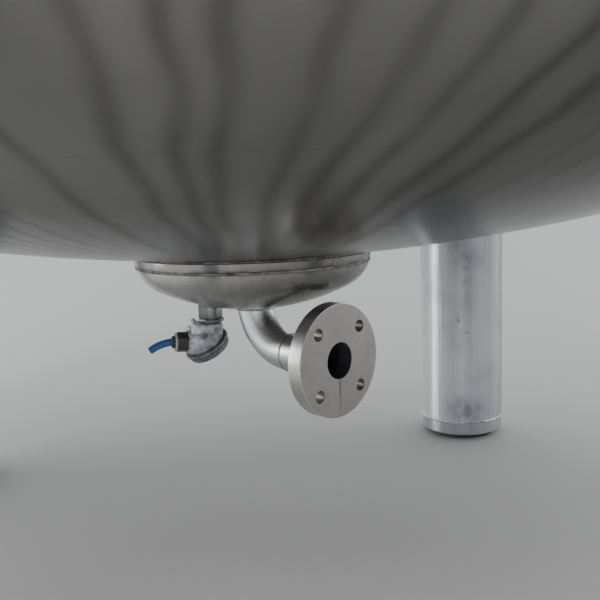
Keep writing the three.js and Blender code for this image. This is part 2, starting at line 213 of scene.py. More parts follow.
def roundLine(name, points, radius, closed=False):
    # a bead or bar along points, as a curve that is turned into a mesh
    curve = bpy.data.curves.new(name, "CURVE")
    curve.dimensions = "3D"
    curve.bevel_depth = radius
    curve.bevel_resolution = 3
    curve.use_fill_caps = not closed
    line = curve.splines.new("POLY")
    line.points.add(len(points) - 1)
    for spot, point in zip(line.points, points):
        spot.co = (*point, 1)
    line.use_cyclic_u = closed
    piece = bpy.data.objects.new(name, curve)
    bpy.context.scene.collection.objects.link(piece)
    pick(piece)
    bpy.ops.object.convert(target="MESH")
    piece = nameAs(name)
    cleanMesh(piece, 50)
    return piece


def onCircle(radius, height, count, centre=(0, 0)):
    turns = [2 * math.pi * i / count for i in range(count)]
    x, y = centre
    return [(x + radius * math.cos(t), y + radius * math.sin(t), height) for t in turns]


def ringBead(name, radius, level, count, thickness, centre=(0, 0)):
    # level is a height, or a function that gives it from the distance to the tank's axis
    points = [
        (x, y, level(math.hypot(x, y)) if callable(level) else level)
        for x, y, z in onCircle(radius, 0, count, centre)
    ]
    return roundLine(name, points, thickness, closed=True)


def atAzimuth(radius, degrees):
    turn = math.radians(degrees)
    return radius * math.cos(turn), radius * math.sin(turn)


# small helpers for materials


def fillSockets(tree, node, sockets):  # each with a link or a value
    for key, value in sockets.items():
        if isinstance(value, bpy.types.NodeSocket):
            tree.links.new(value, node.inputs[key])
        else:
            node.inputs[key].default_value = value


def addNode(tree, kind, sockets, **settings):
    node = tree.nodes.new(kind)
    for key, value in settings.items():
        setattr(node, key, value)
    fillSockets(tree, node, sockets)
    return node


def sumOf(tree, operation, a, b=0.0, c=0.0):
    return addNode(tree, "ShaderNodeMath", {0: a, 1: b, 2: c}, operation=operation).outputs[0]


def plus(tree, a, b):
    return sumOf(tree, "ADD", a, b)


def times(tree, a, b):
    return sumOf(tree, "MULTIPLY", a, b)


def weigh(tree, *shares):  # masks, each times its share, added up
    total = 0.0
    for mask, share in shares:
        total = sumOf(tree, "MULTIPLY_ADD", mask, share, total)
    return total


def clamped(tree, value):
    return addNode(tree, "ShaderNodeClamp", {0: value}).outputs[0]


def spread(tree, value, low, high, toLow=0.0, toHigh=1.0):
    sockets = {0: value, 1: low, 2: high, 3: toLow, 4: toHigh}
    return addNode(tree, "ShaderNodeMapRange", sockets).outputs[0]


def axesOf(tree, place):
    return addNode(tree, "ShaderNodeSeparateXYZ", {0: place}).outputs


def unrollOf(tree, first, second):  # two values as a flat place, for a grain
    return addNode(tree, "ShaderNodeCombineXYZ", {0: first, 1: second}).outputs[0]


def vectorSum(tree, operation, first, second, output=0):
    sockets = {0: first, 1: second}
    return addNode(tree, "ShaderNodeVectorMath", sockets, operation=operation).outputs[output]


def noiseOf(tree, place, scale, detail, roughness=0.5):
    sockets = {"Vector": place, "Scale": scale, "Detail": detail, "Roughness": roughness}
    return addNode(tree, "ShaderNodeTexNoise", sockets).outputs[0]


def blendColours(tree, share, first, second):
    sockets = {0: share, 6: first, 7: second}
    return addNode(tree, "ShaderNodeMix", sockets, data_type="RGBA").outputs[2]


def toned(tree, colour, share, most):  # times most where share is 1
    sockets = {0: colour, "Scale": spread(tree, share, 0, 1, 1.0, most)}
    return addNode(tree, "ShaderNodeVectorMath", sockets, operation="SCALE").outputs[0]


def towards(tree, place, way, low, high):  # from 0 to 1 along a way from the pattern's middle
    return spread(tree, vectorSum(tree, "DOT_PRODUCT", place, way, "Value"), low, high)


def grey(level, warm=0.0):
    return (level * (1 + warm), level, level * (1 - warm), 1)


def shaded(colour, factor):
    return (*[factor * channel for channel in colour[:3]], 1)


def newGroup(name, takes, gives):
    tree = bpy.data.node_groups.new(name, "ShaderNodeTree")
    for label, kind in takes:
        tree.interface.new_socket(label, in_out="INPUT", socket_type="NodeSocket" + kind)
    for label, kind in gives:
        tree.interface.new_socket(label, in_out="OUTPUT", socket_type="NodeSocket" + kind)
    return tree, tree.nodes.new("NodeGroupInput").outputs, tree.nodes.new("NodeGroupOutput").inputs


def roundPlaceGroup():  # angle in degrees, radius and height about the Z axis
    tree, given, result = newGroup(
        "roundPlace",
        [("Place", "Vector")],
        [("Angle", "Float"), ("Radius", "Float"), ("Height", "Float")],
    )
    x, y, z = axesOf(tree, given["Place"])
    squares = plus(tree, sumOf(tree, "POWER", x, 2.0), sumOf(tree, "POWER", y, 2.0))
    angle = sumOf(tree, "ARCTAN2", y, x)
    tree.links.new(times(tree, angle, math.degrees(1)), result["Angle"])
    tree.links.new(sumOf(tree, "SQRT", squares), result["Radius"])
    tree.links.new(z, result["Height"])
    return tree


def blotchGroup():  # soft patches of a given size in metres
    tree, given, result = newGroup(
        "blotches",
        [("Place", "Vector"), ("Size", "Float"), ("Low", "Float"), ("High", "Float")],
        [("Mask", "Float")],
    )
    fineness = sumOf(tree, "DIVIDE", 1.0, given["Size"])
    noise = noiseOf(tree, given["Place"], fineness, 6.0, 0.6)
    tree.links.new(spread(tree, noise, given["Low"], given["High"]), result["Mask"])
    return tree


def grainGroup():  # drawn-out noise, as brushed or rolled steel has
    tree, given, result = newGroup(
        "drawnGrain", [("Place", "Vector"), ("Stretch", "Vector")], [("Grain", "Float")]
    )
    stretched = vectorSum(tree, "MULTIPLY", given["Place"], given["Stretch"])
    tree.links.new(noiseOf(tree, stretched, 1.0, 5.0, 0.65), result["Grain"])
    return tree


def bandGroup():  # 1 at a level, falling away over a width on both sides
    tree, given, result = newGroup(
        "softBand", [("Value", "Float"), ("Level", "Float"), ("Width", "Float")], [("Mask", "Float")]
    )
    away = sumOf(tree, "SUBTRACT", given["Value"], given["Level"])
    away = sumOf(tree, "DIVIDE", away, given["Width"])
    hill = sumOf(tree, "EXPONENT", times(tree, sumOf(tree, "POWER", away, 2.0), -1.0))
    tree.links.new(hill, result["Mask"])
    return tree


groups = {
    "roundPlace": roundPlaceGroup(),
    "blotches": blotchGroup(),
    "drawnGrain": grainGroup(),
    "softBand": bandGroup(),
}


def useGroup(tree, name, **sockets):
    return addNode(tree, "ShaderNodeGroup", sockets, node_tree=groups[name]).outputs


def blotchMask(tree, place, size, low, high):
    return useGroup(tree, "blotches", Place=place, Size=size, Low=low, High=high)["Mask"]


def bandMask(tree, value, level, width):
    return useGroup(tree, "softBand", Value=value, Level=level, Width=width)["Mask"]


def drawnGrain(tree, place, stretch):
    return useGroup(tree, "drawnGrain", Place=place, Stretch=stretch)["Grain"]


def startMaterial(name, centre=(0, 0, 0), turn=(0, 0, 0)):
    # returns the tree, its shader and the place on the piece, centred and turned for a pattern
    material = bpy.data.materials.new(name)
    material.use_nodes = True
    tree = material.node_tree
    place = addNode(tree, "ShaderNodeTexCoord", {}).outputs["Object"]
    moved = vectorSum(tree, "SUBTRACT", place, centre)
    turned = addNode(tree, "ShaderNodeMapping", {"Vector": moved, "Rotation": turn}).outputs[0]
    return material, tree, tree.nodes["Principled BSDF"], turned


def finishAs(tree, shader, colour, roughness, metallic=1.0):
    tree.links.new(colour, shader.inputs["Base Color"])
    tree.links.new(roughness, shader.inputs["Roughness"])
    shader.inputs["Metallic"].default_value = metallic


def drawOut(shader, amount):  # reflections stretched across the sheet's grain
    shader.inputs["Anisotropic"].default_value = amount
    shader.inputs["Anisotropic Rotation"].default_value = 0.25


def bumpFrom(tree, shader, height, distance, strength=1.0):
    sockets = {"Height": height, "Distance": distance, "Strength": strength}
    tree.links.new(addNode(tree, "ShaderNodeBump", sockets).outputs[0], shader.inputs["Normal"])


def dress(piece, material, slotName, *nodes):
    piece.data.materials.clear()
    piece.data.materials.append(material)
    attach(piece, "root")
    if nodes:
        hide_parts(*nodes)
    return piece


# camera, where the photograph was taken from

view = {
    "eye": (-0.4992, -0.5426, 0.3803),
    "ahead": (0.71045, 0.68849, -0.14572),
    "right": (0.69195, -0.72116, -0.03372),
    "up": (0.12830, 0.07688, 0.98875),
    "lens": 47.35,
}
cameraData = bpy.data.cameras.new("photoCamera")
cameraData.lens = view["lens"]
cameraData.sensor_width = 36
cameraData.clip_start = 0.01
camera = bpy.data.objects.new("photoCamera", cameraData)
bpy.context.scene.collection.objects.link(camera)
backwards = -Vector(view["ahead"])
camera.matrix_world = Matrix(
    [
        [view["right"][i], view["up"][i], backwards[i], view["eye"][i]]
        for i in range(3)
    ]
    + [[0, 0, 0, 1]]
)
bpy.context.scene.camera = camera

# the probe's blue cable: it comes out of the gland and ends cut off

probe = {
    "neckPlace": (0.0, 0.067),
    "headTop": 0.246,
    "centre": (-0.0046, 0.0718, 0.226),
    "capWay": (0.519, -0.063, -0.852),
    "glandWay": (-0.886, 0.458, 0.079),
    "frontWay": (-0.71, -0.69, 0.146),
    "bodyRadius": 0.0205,
    "capRadius": 0.0235,
    "hexStart": 0.0183,
    "hexEnd": 0.0312,
    "nutEnd": 0.0338,
    "hexWidth": 0.018,
    "castLight": (0.98, 1.02, 1.12, 1),
    "castDull": (0.56, 0.58, 0.62, 1),
    "castDirt": (0.33, 0.335, 0.33, 1),
}
cable = {
    "diameter": 0.0075,
    # all points: out of the gland's nut, to the front, up
    "inside": [(-0.0241, 0, 0), (-0.0161, 0, 0), (-0.0081, 0, 0), (-0.0032, 0, 0)],
    "outside": [
        (0.0006, 0, -0.0002),
        (0.004, 0.0001, -0.0007),
        (0.008, 0.0003, -0.0017),
        (0.0126, 0.0005, -0.0034),
        (0.0172, 0.0008, -0.0057),
        (0.0216, 0.0011, -0.0085),
    ],
    "blue": (0.016, 0.085, 0.27, 1),
    "faded": (0.02, 0.12, 0.34, 1),
    "scuffed": (0.03, 0.15, 0.36, 1),
}
probeCentre = Vector(probe["centre"])
capWay = Vector(probe["capWay"]).normalized()
glandWay = Vector(probe["glandWay"]).normalized()
frontWay = Vector(probe["frontWay"])
nutFace = probeCentre + glandWay * (probe["nutEnd"] + seamGap)
cablePoints = [
    nutFace + glandWay * out + frontWay * front + Vector((0, 0, up))
    for out, front, up in cable["inside"] + cable["outside"]
]
cableCurve = bpy.data.curves.new("blueCable", "CURVE")
cableCurve.dimensions = "3D"
cableCurve.bevel_depth = cable["diameter"] / 2
cableCurve.bevel_resolution = 8
cableCurve.resolution_u = 10
cableCurve.use_fill_caps = True
cableLine = cableCurve.splines.new("BEZIER")
cableLine.bezier_points.add(len(cablePoints) - 1)
for knot, point in zip(cableLine.bezier_points, cablePoints):
    knot.co = point
    knot.handle_left_type = "AUTO"
    knot.handle_right_type = "AUTO"
blueCable = bpy.data.objects.new("blueCable", cableCurve)
bpy.context.scene.collection.objects.link(blueCable)

cableMaterial, tree, shader, place = startMaterial("blueSheath")
scuffs = blotchMask(tree, place, 0.006, 0.45, 0.75)
sheath = blendColours(tree, blotchMask(tree, place, 0.02, 0.35, 0.7), cable["blue"], cable["faded"])
sheath = blendColours(tree, scuffs, sheath, cable["scuffed"])
finishAs(tree, shader, sheath, spread(tree, scuffs, 0, 1, 0.42, 0.6), metallic=0.0)
bumpFrom(tree, shader, scuffs, 0.0002)
dress(blueCable, cableMaterial, "blue_cable", "probe_cable")

# steel of the tank's ends: satin sheet with water runs towards the sump

headLook = {
    "light": (0.292, 0.289, 0.278, 1),
    "dark": (0.116, 0.114, 0.106, 1),
    "roughness": (0.17, 0.23),
    # runs: azimuths in degrees, breadth in metres, and where the even ones leave room for them
    "runs": (-142.6, -137.8, -135.4, -133.7, -130.7, -128.1, -125.6, -122.5, -119.8),
    "runWidth": 0.0046,
    "runSpacing": 2.7,
    "runsMiddle": -131.0,
    "runsReach": (13.5, 15.5),
    "scratchRadius": 0.453,
    "puckerRadius": 0.13,
    "edge": 0.62,  # how bright it mirrors at a glance
    "shadedSide": (0.036, 0.035, 0.030, 1),  # painted shade: the dark colour that one side of the head is blended towards
    "shadedSideAt": (-100.0, 24.0, 0.5),  # azimuth, its width, how much
    # lighter patches, set after the photograph's light and not after the metal:
    # radius and its width, how much lighter, azimuth and its width
    "lighter": (
        (0.43, 0.08, 1.35, -140.0, 10.0),
        (0.44, 0.04, 1.3, -126.0, 2.5),
        (0.362, 0.035, 1.5, -129.0, 5.5),
        (0.45, 0.2, 1.7, -155.0, 8.5),
    ),
}


def headRuns(tree, look, around, angle, slow, wander):
    # even runs all round, and the drawn ones at their own azimuths
    turns = plus(tree, angle, spread(tree, slow, 0, 1, -4, 4))
    turns = sumOf(tree, "DIVIDE", turns, look["runSpacing"])
    wave = sumOf(tree, "COSINE", times(tree, turns, 2 * math.pi))
    even = sumOf(tree, "POWER", spread(tree, wave, -1, 1), 5.0)
    fromMiddle = sumOf(tree, "ABSOLUTE", plus(tree, angle, -look["runsMiddle"]))
    even = times(tree, even, spread(tree, fromMiddle, *look["runsReach"]))
    runs = times(tree, even, spread(tree, slow, 0.4, 0.6))
    width = sumOf(tree, "DIVIDE", math.degrees(look["runWidth"]), around["Radius"])
    for level in look["runs"]:
        runs = plus(tree, runs, bandMask(tree, angle, level, width))
    runs = times(tree, runs, spread(tree, wander, 0.3, 0.55, 0.6, 1.0))
    return times(tree, runs, spread(tree, around["Radius"], 0.16, 0.36, 0.3, 1.0))


def headSteel(name, look, runStrength, seams=()):
    material, tree, shader, place = startMaterial(name)
    around = useGroup(tree, "roundPlace", Place=place)
    wander = noiseOf(tree, place, 15.0, 1.2, 0.4)
    slow = noiseOf(tree, place, 3.2, 3.0)
    angle = plus(tree, around["Angle"], spread(tree, wander, 0.25, 0.75, -0.42, 0.42))
    angle = plus(tree, angle, spread(tree, around["Radius"], 0.37, 0.57, 0.9, -0.9))
    runs = times(tree, headRuns(tree, look, around, angle, slow, wander), runStrength)
    cloud = blotchMask(tree, place, 0.16, 0.35, 0.68)
    film = blotchMask(tree, place, 0.035, 0.3, 0.8)
    grain = drawnGrain(tree, unrollOf(tree, around["Angle"], around["Radius"]), (0.12, 260.0, 1.0))
    scratch = bandMask(tree, around["Radius"], look["scratchRadius"], 0.0011)
    heatLines = [(bandMask(tree, around["Height"], level, wide), 0.5) for level, wide in seams]
    tone = weigh(tree, (cloud, 0.22), (film, 0.08), (runs, 0.6), (scratch, 0.12), *heatLines)
    sheet = blendColours(tree, clamped(tree, tone), look["light"], look["dark"])
    for level, wide, most, azimuth, breadth in look["lighter"]:
        share = bandMask(tree, around["Radius"], level, wide)
        beside = bandMask(tree, around["Angle"], azimuth, breadth)
        sheet = toned(tree, sheet, times(tree, share, beside), most)
    # painted shade: one side of the head is darkened towards that colour, at an azimuth and over a width
    azimuth, breadth, most = look["shadedSideAt"]
    shadedSide = times(tree, bandMask(tree, angle, azimuth, breadth), most)
    sheet = blendColours(tree, shadedSide, sheet, look["shadedSide"])
    rough = plus(tree, spread(tree, grain, 0.3, 0.7, *look["roughness"]), times(tree, runs, 0.04))
    finishAs(tree, shader, sheet, rough)
    drawOut(shader, 0.5)
    shader.inputs["Specular Tint"].default_value = grey(look["edge"])
    # the sheet is puckered beside the weld in its middle
    puckers = noiseOf(tree, place, 34.0, 3.0, 0.55)
    puckers = times(tree, puckers, bandMask(tree, around["Radius"], look["puckerRadius"], 0.04))
    waves = weigh(tree, (slow, 0.6), (grain, 0.003), (puckers, 1.5))
    bumpFrom(tree, shader, waves, 0.004, 0.6)
    return material


# bottom head and sump

head = {
    "radius": 0.7,
    "crown": 1.4,
    "knuckle": 0.14,
    "skirt": 0.03,
    "wall": 0.004,
    "lowest": 0.317,
    "bore": 0.10655,
    "steps": 240,
}
sump = {
    "radius": 0.10955,
    "crown": 0.204,
    "knuckle": 0.0335,
    "wall": 0.003,
    "bottom": 0.267,
    "bore": 0.0153,
    "weld": 0.3105,
    "steps": 160,
    "light": (0.27, 0.268, 0.252, 1),
    "dark": (0.08, 0.077, 0.068, 1),
    "shadedFrom": (0.291, 0.279),  # heights between which its middle gets darker
    # its lighter side, set after the photograph's light: which way, and how much lighter
    "lightWay": (-0.69, 0.72, 0),
    "lightMost": 2.7,
}


def dishedOutline(radius, crown, knuckle, start, crownSteps, knuckleSteps):
    turn = math.asin((radius - knuckle) / (crown - knuckle))
    first = math.asin(start / crown)
    points = []
    for i in range(crownSteps + 1):
        a = first + (turn - first) * i / crownSteps
        points.append((crown * math.sin(a), crown - crown * math.cos(a)))
    rim = crown - (crown - knuckle) * math.cos(turn)
    for i in range(1, knuckleSteps + 1):
        a = turn + (math.pi / 2 - turn) * i / knuckleSteps
        points.append((radius - knuckle + knuckle * math.sin(a), rim - knuckle * math.cos(a)))
    return points


def onCrown(radius):  # height of the bottom head's outer face
    return head["lowest"] + head["crown"] - math.sqrt(head["crown"] ** 2 - radius**2)


bottomOutline = [
    (r, z + head["lowest"])
    for r, z in dishedOutline(head["radius"], head["crown"], head["knuckle"], head["bore"], 22, 18)
]
skirtTop = bottomOutline[-1][1] + head["skirt"]
bottomOutline.append((head["radius"], skirtTop))
bottomHead = turnedPiece("bottomHead", bottomOutline, head["steps"])
thicken(bottomHead, head["wall"])
bottomSteel = headSteel("bottomHeadSteel", headLook, 1.0, seams=[(0.3215, 0.004), (skirtTop, 0.012)])
dress(bottomHead, bottomSteel, "polished_steel", "bottom_head")

sumpOutline = [
    (r, z + sump["bottom"])
    for r, z in dishedOutline(sump["radius"], sump["crown"], sump["knuckle"], sump["bore"], 16, 14)
]
sumpOutline.append((sump["radius"], onCrown(sump["radius"]) - seamGap))
sumpPiece = turnedPiece("sumpDish", sumpOutline, sump["steps"])
thicken(sumpPiece, sump["wall"])
print("heads made")


def sumpSteel():
    material, tree, shader, place = startMaterial("sumpSteel")
    around = useGroup(tree, "roundPlace", Place=place)
    height = around["Height"]
    cloud = blotchMask(tree, place, 0.05, 0.3, 0.7)
    grain = drawnGrain(tree, unrollOf(tree, around["Angle"], height), (0.35, 9.0, 1.0))
    specks = blotchMask(tree, place, 0.004, 0.62, 0.75)
    dashes = spread(tree, noiseOf(tree, place, 60.0, 2.0), 0.42, 0.55, 0.25, 1.0)
    weld = times(tree, bandMask(tree, height, sump["weld"], 0.0022), dashes)
    # painted shade: the collar between the weld and the dish is darker, where it lies in the dish's
    # shade
    collar = spread(tree, height, sump["weld"], sump["weld"] + 0.002)
    crown = spread(tree, height, *sump["shadedFrom"])
    streaks = spread(tree, grain, 0.35, 0.65, 0.0, 0.13)
    streaks = times(tree, streaks, spread(tree, crown, 0, 1, 1.0, 0.1))
    tone = weigh(
        tree, (cloud, 0.2), (weld, 0.7), (collar, 0.45), (crown, 0.45), (specks, 0.15), (streaks, 1.0)
    )
    sheet = blendColours(tree, clamped(tree, tone), sump["light"], sump["dark"])
    share = towards(tree, place, sump["lightWay"], -0.02, 0.09)
    sheet = toned(tree, sheet, share, sump["lightMost"])
    finishAs(tree, shader, sheet, spread(tree, grain, 0.3, 0.7, 0.25, 0.29))
    drawOut(shader, 0.5)
    bumpFrom(tree, shader, weigh(tree, (cloud, 1.0), (grain, 0.0015)), 0.0008, 0.5)
    return material


dress(sumpPiece, sumpSteel(), "polished_steel", "sump")

# weld beads: rippled, a little darker and browner than the sheet


def beadSteel(name, centre=(0, 0, 0), ripples=220.0, level=0.42):
    material, tree, shader, place = startMaterial(name, centre)
    around = useGroup(tree, "roundPlace", Place=place)
    wave = sumOf(tree, "SINE", times(tree, around["Angle"], math.radians(ripples)))
    soot = blotchMask(tree, place, 0.01, 0.4, 0.65)
    sooty = (level * 0.4, level * 0.38, level * 0.36, 1)
    tint = blendColours(tree, soot, grey(level, 0.01), sooty)
    finishAs(tree, shader, tint, spread(tree, soot, 0, 1, 0.32, 0.48))
    bumpFrom(tree, shader, wave, 0.0002, 0.6)
    return material


def straightBeadSteel(name, axis, size, most, tones, rough, ripples, depth):
    # for a bead along an axis; soot in patches of a size, and ripples per metre
    material, tree, shader, place = startMaterial(name)
    along = axesOf(tree, place)[axis]
    soot = blotchMask(tree, place, size, 0.4, most)
    finishAs(tree, shader, blendColours(tree, soot, *tones), spread(tree, soot, 0, 1, *rough))
    bumpFrom(tree, shader, sumOf(tree, "SINE", times(tree, along, ripples)), depth, 0.6)
    return material


def flatBead(name, radius, height, width, proud, steps):
    half = width / 2
    outline = [(radius - 0.001, height - half)]
    for i in range(9):
        t = -1 + i / 4
        outline.append((radius + proud * (1 - t * t), height + half * t * 0.98))
    outline.append((radius - 0.001, height + half))
    outline.append(outline[0])
    return turnedPiece(name, outline, steps, 60)


# these two beads are much darker than the others: partly their own dark weld colour, partly painted
# shade in the corner under the dish
sumpWeldRadius = sump["radius"] - 0.0009
sumpWeld = flatBead("sumpWeld", sumpWeldRadius, sump["weld"], 0.003, 0.0005, sump["steps"])
dress(sumpWeld, beadSteel("sumpWeldSteel", ripples=300, level=0.2), "polished_steel")
filletLevel = onCrown(sump["radius"] + 0.001) - 0.0012
filletRing = ringBead("sumpFillet", sump["radius"] + 0.0008, filletLevel, 160, 0.0019)
dress(filletRing, beadSteel("sumpFilletSteel", ripples=260, level=0.14), "polished_steel")

# outlet bend and flange

outlet = {
    "radius": 0.01685,
    "wall": 0.0016,
    "bend": 0.045,
    "level": 0.2286,
    "rear": 0.0904,
    "flangeRadius": 0.05,
    "flangeBore": 0.0156,
    "thickness": 0.014,
    "boltCircle": 0.0375,
    "boltHole": 0.0055,
    "light": (0.34, 0.330, 0.312, 1),
    "dark": (0.25, 0.242, 0.226, 1),
    "stain": (0.22, 0.218, 0.21, 1),
    # painted shade for the flange's bore:
    "bore": (0.055, 0.057, 0.062, 1),
    "run": (0.075, 0.058, 0.044, 1),
    # the turned rim: partly its own turned finish, partly a painted highlight
    "rim": (0.6, 0.593, 0.575, 1),
}


def pipeSteel(name, tints, turn=(0, 0, 0), light=0.78):
    # smooth drawn pipe; tints are (level along the pattern's Z, width) of heat marks
    material, tree, shader, place = startMaterial(name, turn=turn)
    along = axesOf(tree, place)[2]
    cloud = blotchMask(tree, place, 0.03, 0.35, 0.7)
    grain = drawnGrain(tree, place, (500.0, 500.0, 500.0))
    heatMarks = [(bandMask(tree, along, level, width), 0.7) for level, width in tints]
    tone = clamped(tree, weigh(tree, (cloud, 0.3), *heatMarks))
    sheet = blendColours(tree, tone, grey(light, -0.01), grey(light * 0.42, 0.02))
    finishAs(tree, shader, sheet, spread(tree, grain, 0.3, 0.7, 0.26, 0.36))
    bumpFrom(tree, shader, grain, 0.00002, 0.5)
    return material


def shadedWetSteel(name):  # the inside of a pipe: painted shade, nearly black, with a wet film in patches
    material, tree, shader, place = startMaterial(name)
    film = blotchMask(tree, place, 0.01, 0.4, 0.65)
    dark = blendColours(tree, film, grey(0.06, -0.03), grey(0.03))
    finishAs(tree, shader, dark, spread(tree, film, 0, 1, 0.45, 0.65), metallic=0.6)
    bumpFrom(tree, shader, film, 0.0001, 0.5)
    return material


bendTop = outlet["level"] + outlet["bend"]
outletBend = startRing("outletBend", 72, outlet["radius"], (0, 0, bendTop))
bpy.ops.mesh.spin(
    steps=30, angle=math.radians(90), center=(0, -outlet["bend"], bendTop), axis=(1, 0, 0)
)
straightEnd = outlet["rear"] - outlet["bend"]
for share in (0.02, 0.05, 0.93):
    extrudeBy(0, -straightEnd * share, 0)
bpy.ops.mesh.select_all(action="SELECT")
bpy.ops.mesh.bisect(
    plane_co=(0, 0, sump["bottom"] + 0.0004), plane_no=(0, 0, 1), clear_outer=True
)
cleanMesh(outletBend)
alongPipe = (math.radians(90), 0, 0)
bendSteel = pipeSteel("outletPipeSteel", [(0.0455, 0.003)], turn=alongPipe)
dress(outletBend, bendSteel, "pipe_steel", "outlet_bend")
outletBend.data.materials.append(shadedWetSteel("insideOutlet"))
thicken(outletBend, outlet["wall"], material_offset=1, material_offset_rim=1)

bendBead = ringBead("bendBead", outlet["radius"] - 0.0004, 0, 72, 0.0011)
aimPiece(bendBead, (0, -1, 0), (0, -outlet["bend"] - 0.001, outlet["level"]))
topBead = ringBead("outletTopBead", outlet["radius"] + 0.0006, sump["bottom"] - 0.0001, 72, 0.0016)
rearBead = ringBead("outletRearBead", outlet["radius"] + 0.0012, 0, 72, 0.0022)
aimPiece(rearBead, (0, -1, 0), (0, -outlet["rear"] + 0.0008, outlet["level"]))
outletBeads = joinAs("outletBeads", topBead, bendBead, rearBead)
dress(outletBeads, beadSteel("outletBeadSteel"), "pipe_steel")


def flangeSteel(name, centre, turn, runs=True):
    # turned face: fine rings about the bore, a faint brown run below it
    material, tree, shader, place = startMaterial(name, centre, turn)
    radius = useGroup(tree, "roundPlace", Place=place)["Radius"]
    x, y, z = axesOf(tree, place)
    wobble = blotchMask(tree, place, 0.02, 0.0, 1.0)
    rings = sumOf(tree, "SINE", plus(tree, times(tree, radius, 5200.0), wobble))
    fineRings = drawnGrain(tree, unrollOf(tree, radius, z), (1400.0, 1400.0, 1.0))
    tone = weigh(tree, (blotchMask(tree, place, 0.022, 0.3, 0.7), 0.4), (fineRings, 0.3))
    colour = blendColours(tree, tone, outlet["light"], outlet["dark"])
    stain = times(tree, blotchMask(tree, place, 0.008, 0.45, 0.7), 0.35)
    colour = blendColours(tree, stain, colour, outlet["stain"])
    # painted shade: the bore is painted nearly black and made less metallic
    inBore = sumOf(tree, "LESS_THAN", radius, outlet["flangeBore"] + 0.0003)
    colour = blendColours(tree, inBore, colour, outlet["bore"])
    if runs:
        under = times(tree, bandMask(tree, x, -0.001, 0.0011), spread(tree, y, -0.0155, -0.0175))
        under = times(tree, under, spread(tree, y, -0.046, -0.02, 0.2, 0.75))
        colour = blendColours(tree, under, colour, outlet["run"])
    # the turned rim is lighter and smoother: partly its own turned finish, partly a painted highlight
    rim = sumOf(tree, "GREATER_THAN", radius, outlet["flangeRadius"] - 0.0006)
    colour = blendColours(tree, rim, colour, outlet["rim"])
    rough = weigh(tree, (spread(tree, fineRings, 0.3, 0.7, 0.36, 0.46), 1.0), (rim, -0.14))
    finishAs(tree, shader, colour, rough)
    tree.links.new(spread(tree, inBore, 0, 1, 1.0, 0.3), shader.inputs["Metallic"])
    bumpFrom(tree, shader, weigh(tree, (rings, 1.0), (fineRings, 3.0)), 0.00003, 0.5)
    return material


def plateFlange(name, size):  # its rear face at z = 0
    edge = 0.0007
    far = size["flangeRadius"]
    bore = size["flangeBore"]
    thick = size["thickness"]
    outline = [
        (bore, edge),
        (bore + edge, 0),
        (far - edge, 0),
        (far - edge * 0.3, edge * 0.3),
        (far, edge),
        (far, thick - edge),
        (far - edge * 0.3, thick - edge * 0.3),
        (far - edge, thick),
        (bore + edge, thick),
        (bore, thick - edge),
        (bore, edge),
    ]
    flange = turnedPiece(name, outline, 128, 30)
    for i in range(4):
        spot = (*atAzimuth(size["boltCircle"], 45 + 90 * i), thick / 2)
        subtractShape(flange, plainBar("drill", 40, size["boltHole"], thick * 2, spot))
    roundEdges(flange, 0.0004, angle_limit=math.radians(60))
    evenNormals(flange)
    return flange


outletFlange = plateFlange("outletFlange", outlet)
inletFlange = copyAs(outletFlange, "inletFlange")
aimPiece(outletFlange, (0, -1, 0), (0, -outlet["rear"], outlet["level"]))
outletFlangeSteel = flangeSteel(
    "outletFlangeSteel", (0, -outlet["rear"], outlet["level"]), (math.radians(-90), 0, 0)
)
dress(outletFlange, outletFlangeSteel, "flange_steel", "outlet_flange")
print("outlet made")

# probe: neck with its nut, cast head, screw cap and gland

neckTop = 0.2772
neckOutline = [
    (0, probe["headTop"]),
    (0.0108, probe["headTop"]),
    (0.0108, 0.2502),
    (0.0116, 0.2506),
    (0.0120, 0.2514),
    (0.0120, neckTop),
    (0, neckTop),
]
probeNeck = turnedPiece("probeNeck", neckOutline, 64, 30)
standAt(probeNeck, probe["neckPlace"])
neckNut = softPrism("neckNut", 6, 0.0137, 0.0034, (*probe["neckPlace"], 0.2481), 0.0007)
probeNeck = joinAs("probeNeck", probeNeck, neckNut)
# its top is cut along the sump's slope
useModifier(probeNeck, "TRIANGULATE")
cutBody = turnedPiece("cutBody", [(0, 0.29), *sumpOutline, (0, sumpOutline[-1][1])], 96)
subtractShape(probeNeck, cutBody)
# painted shade: the neck gets a much darker copy of the pipe steel than the outlet has
neckSteel = pipeSteel("probeNeckSteel", [(0.2665, 0.003), (0.2475, 0.004)], light=0.22)
dress(probeNeck, neckSteel, "pipe_steel", "probe_neck")


def underSump(radius):  # height just under the sump's outer face
    return sump["bottom"] + sump["crown"] - math.sqrt(sump["crown"] ** 2 - radius**2) - seamGap


neckBead = ringBead("neckBead", 0.0128, underSump, 64, 0.0013, probe["neckPlace"])
neckBeadSteel = beadSteel("neckBeadSteel", (*probe["neckPlace"], 0), level=0.25)
dress(neckBead, neckBeadSteel, "pipe_steel")


def castMetal(name, shade, lightMost):
    material, tree, shader, place = startMaterial(name, probeCentre)
    skin = blotchMask(tree, place, 0.0012, 0.25, 0.8)
    worn = blotchMask(tree, place, 0.007, 0.38, 0.62)
    dirt = blotchMask(tree, place, 0.009, 0.5, 0.68)
    light, dull, dirty = (shaded(probe[key], shade) for key in ("castLight", "castDull", "castDirt"))
    metal = blendColours(tree, worn, light, dull)
    metal = blendColours(tree, dirt, metal, dirty)
    # lighter on one side, set after the photograph's light
    metal = toned(tree, metal, towards(tree, place, (-0.55, 0.57, 0.6), -0.002, 0.012), lightMost)
    finishAs(tree, shader, metal, spread(tree, worn, 0, 1, 0.38, 0.52), metallic=0.5)
    bumpFrom(tree, shader, skin, 0.0003, 0.7)
    return material


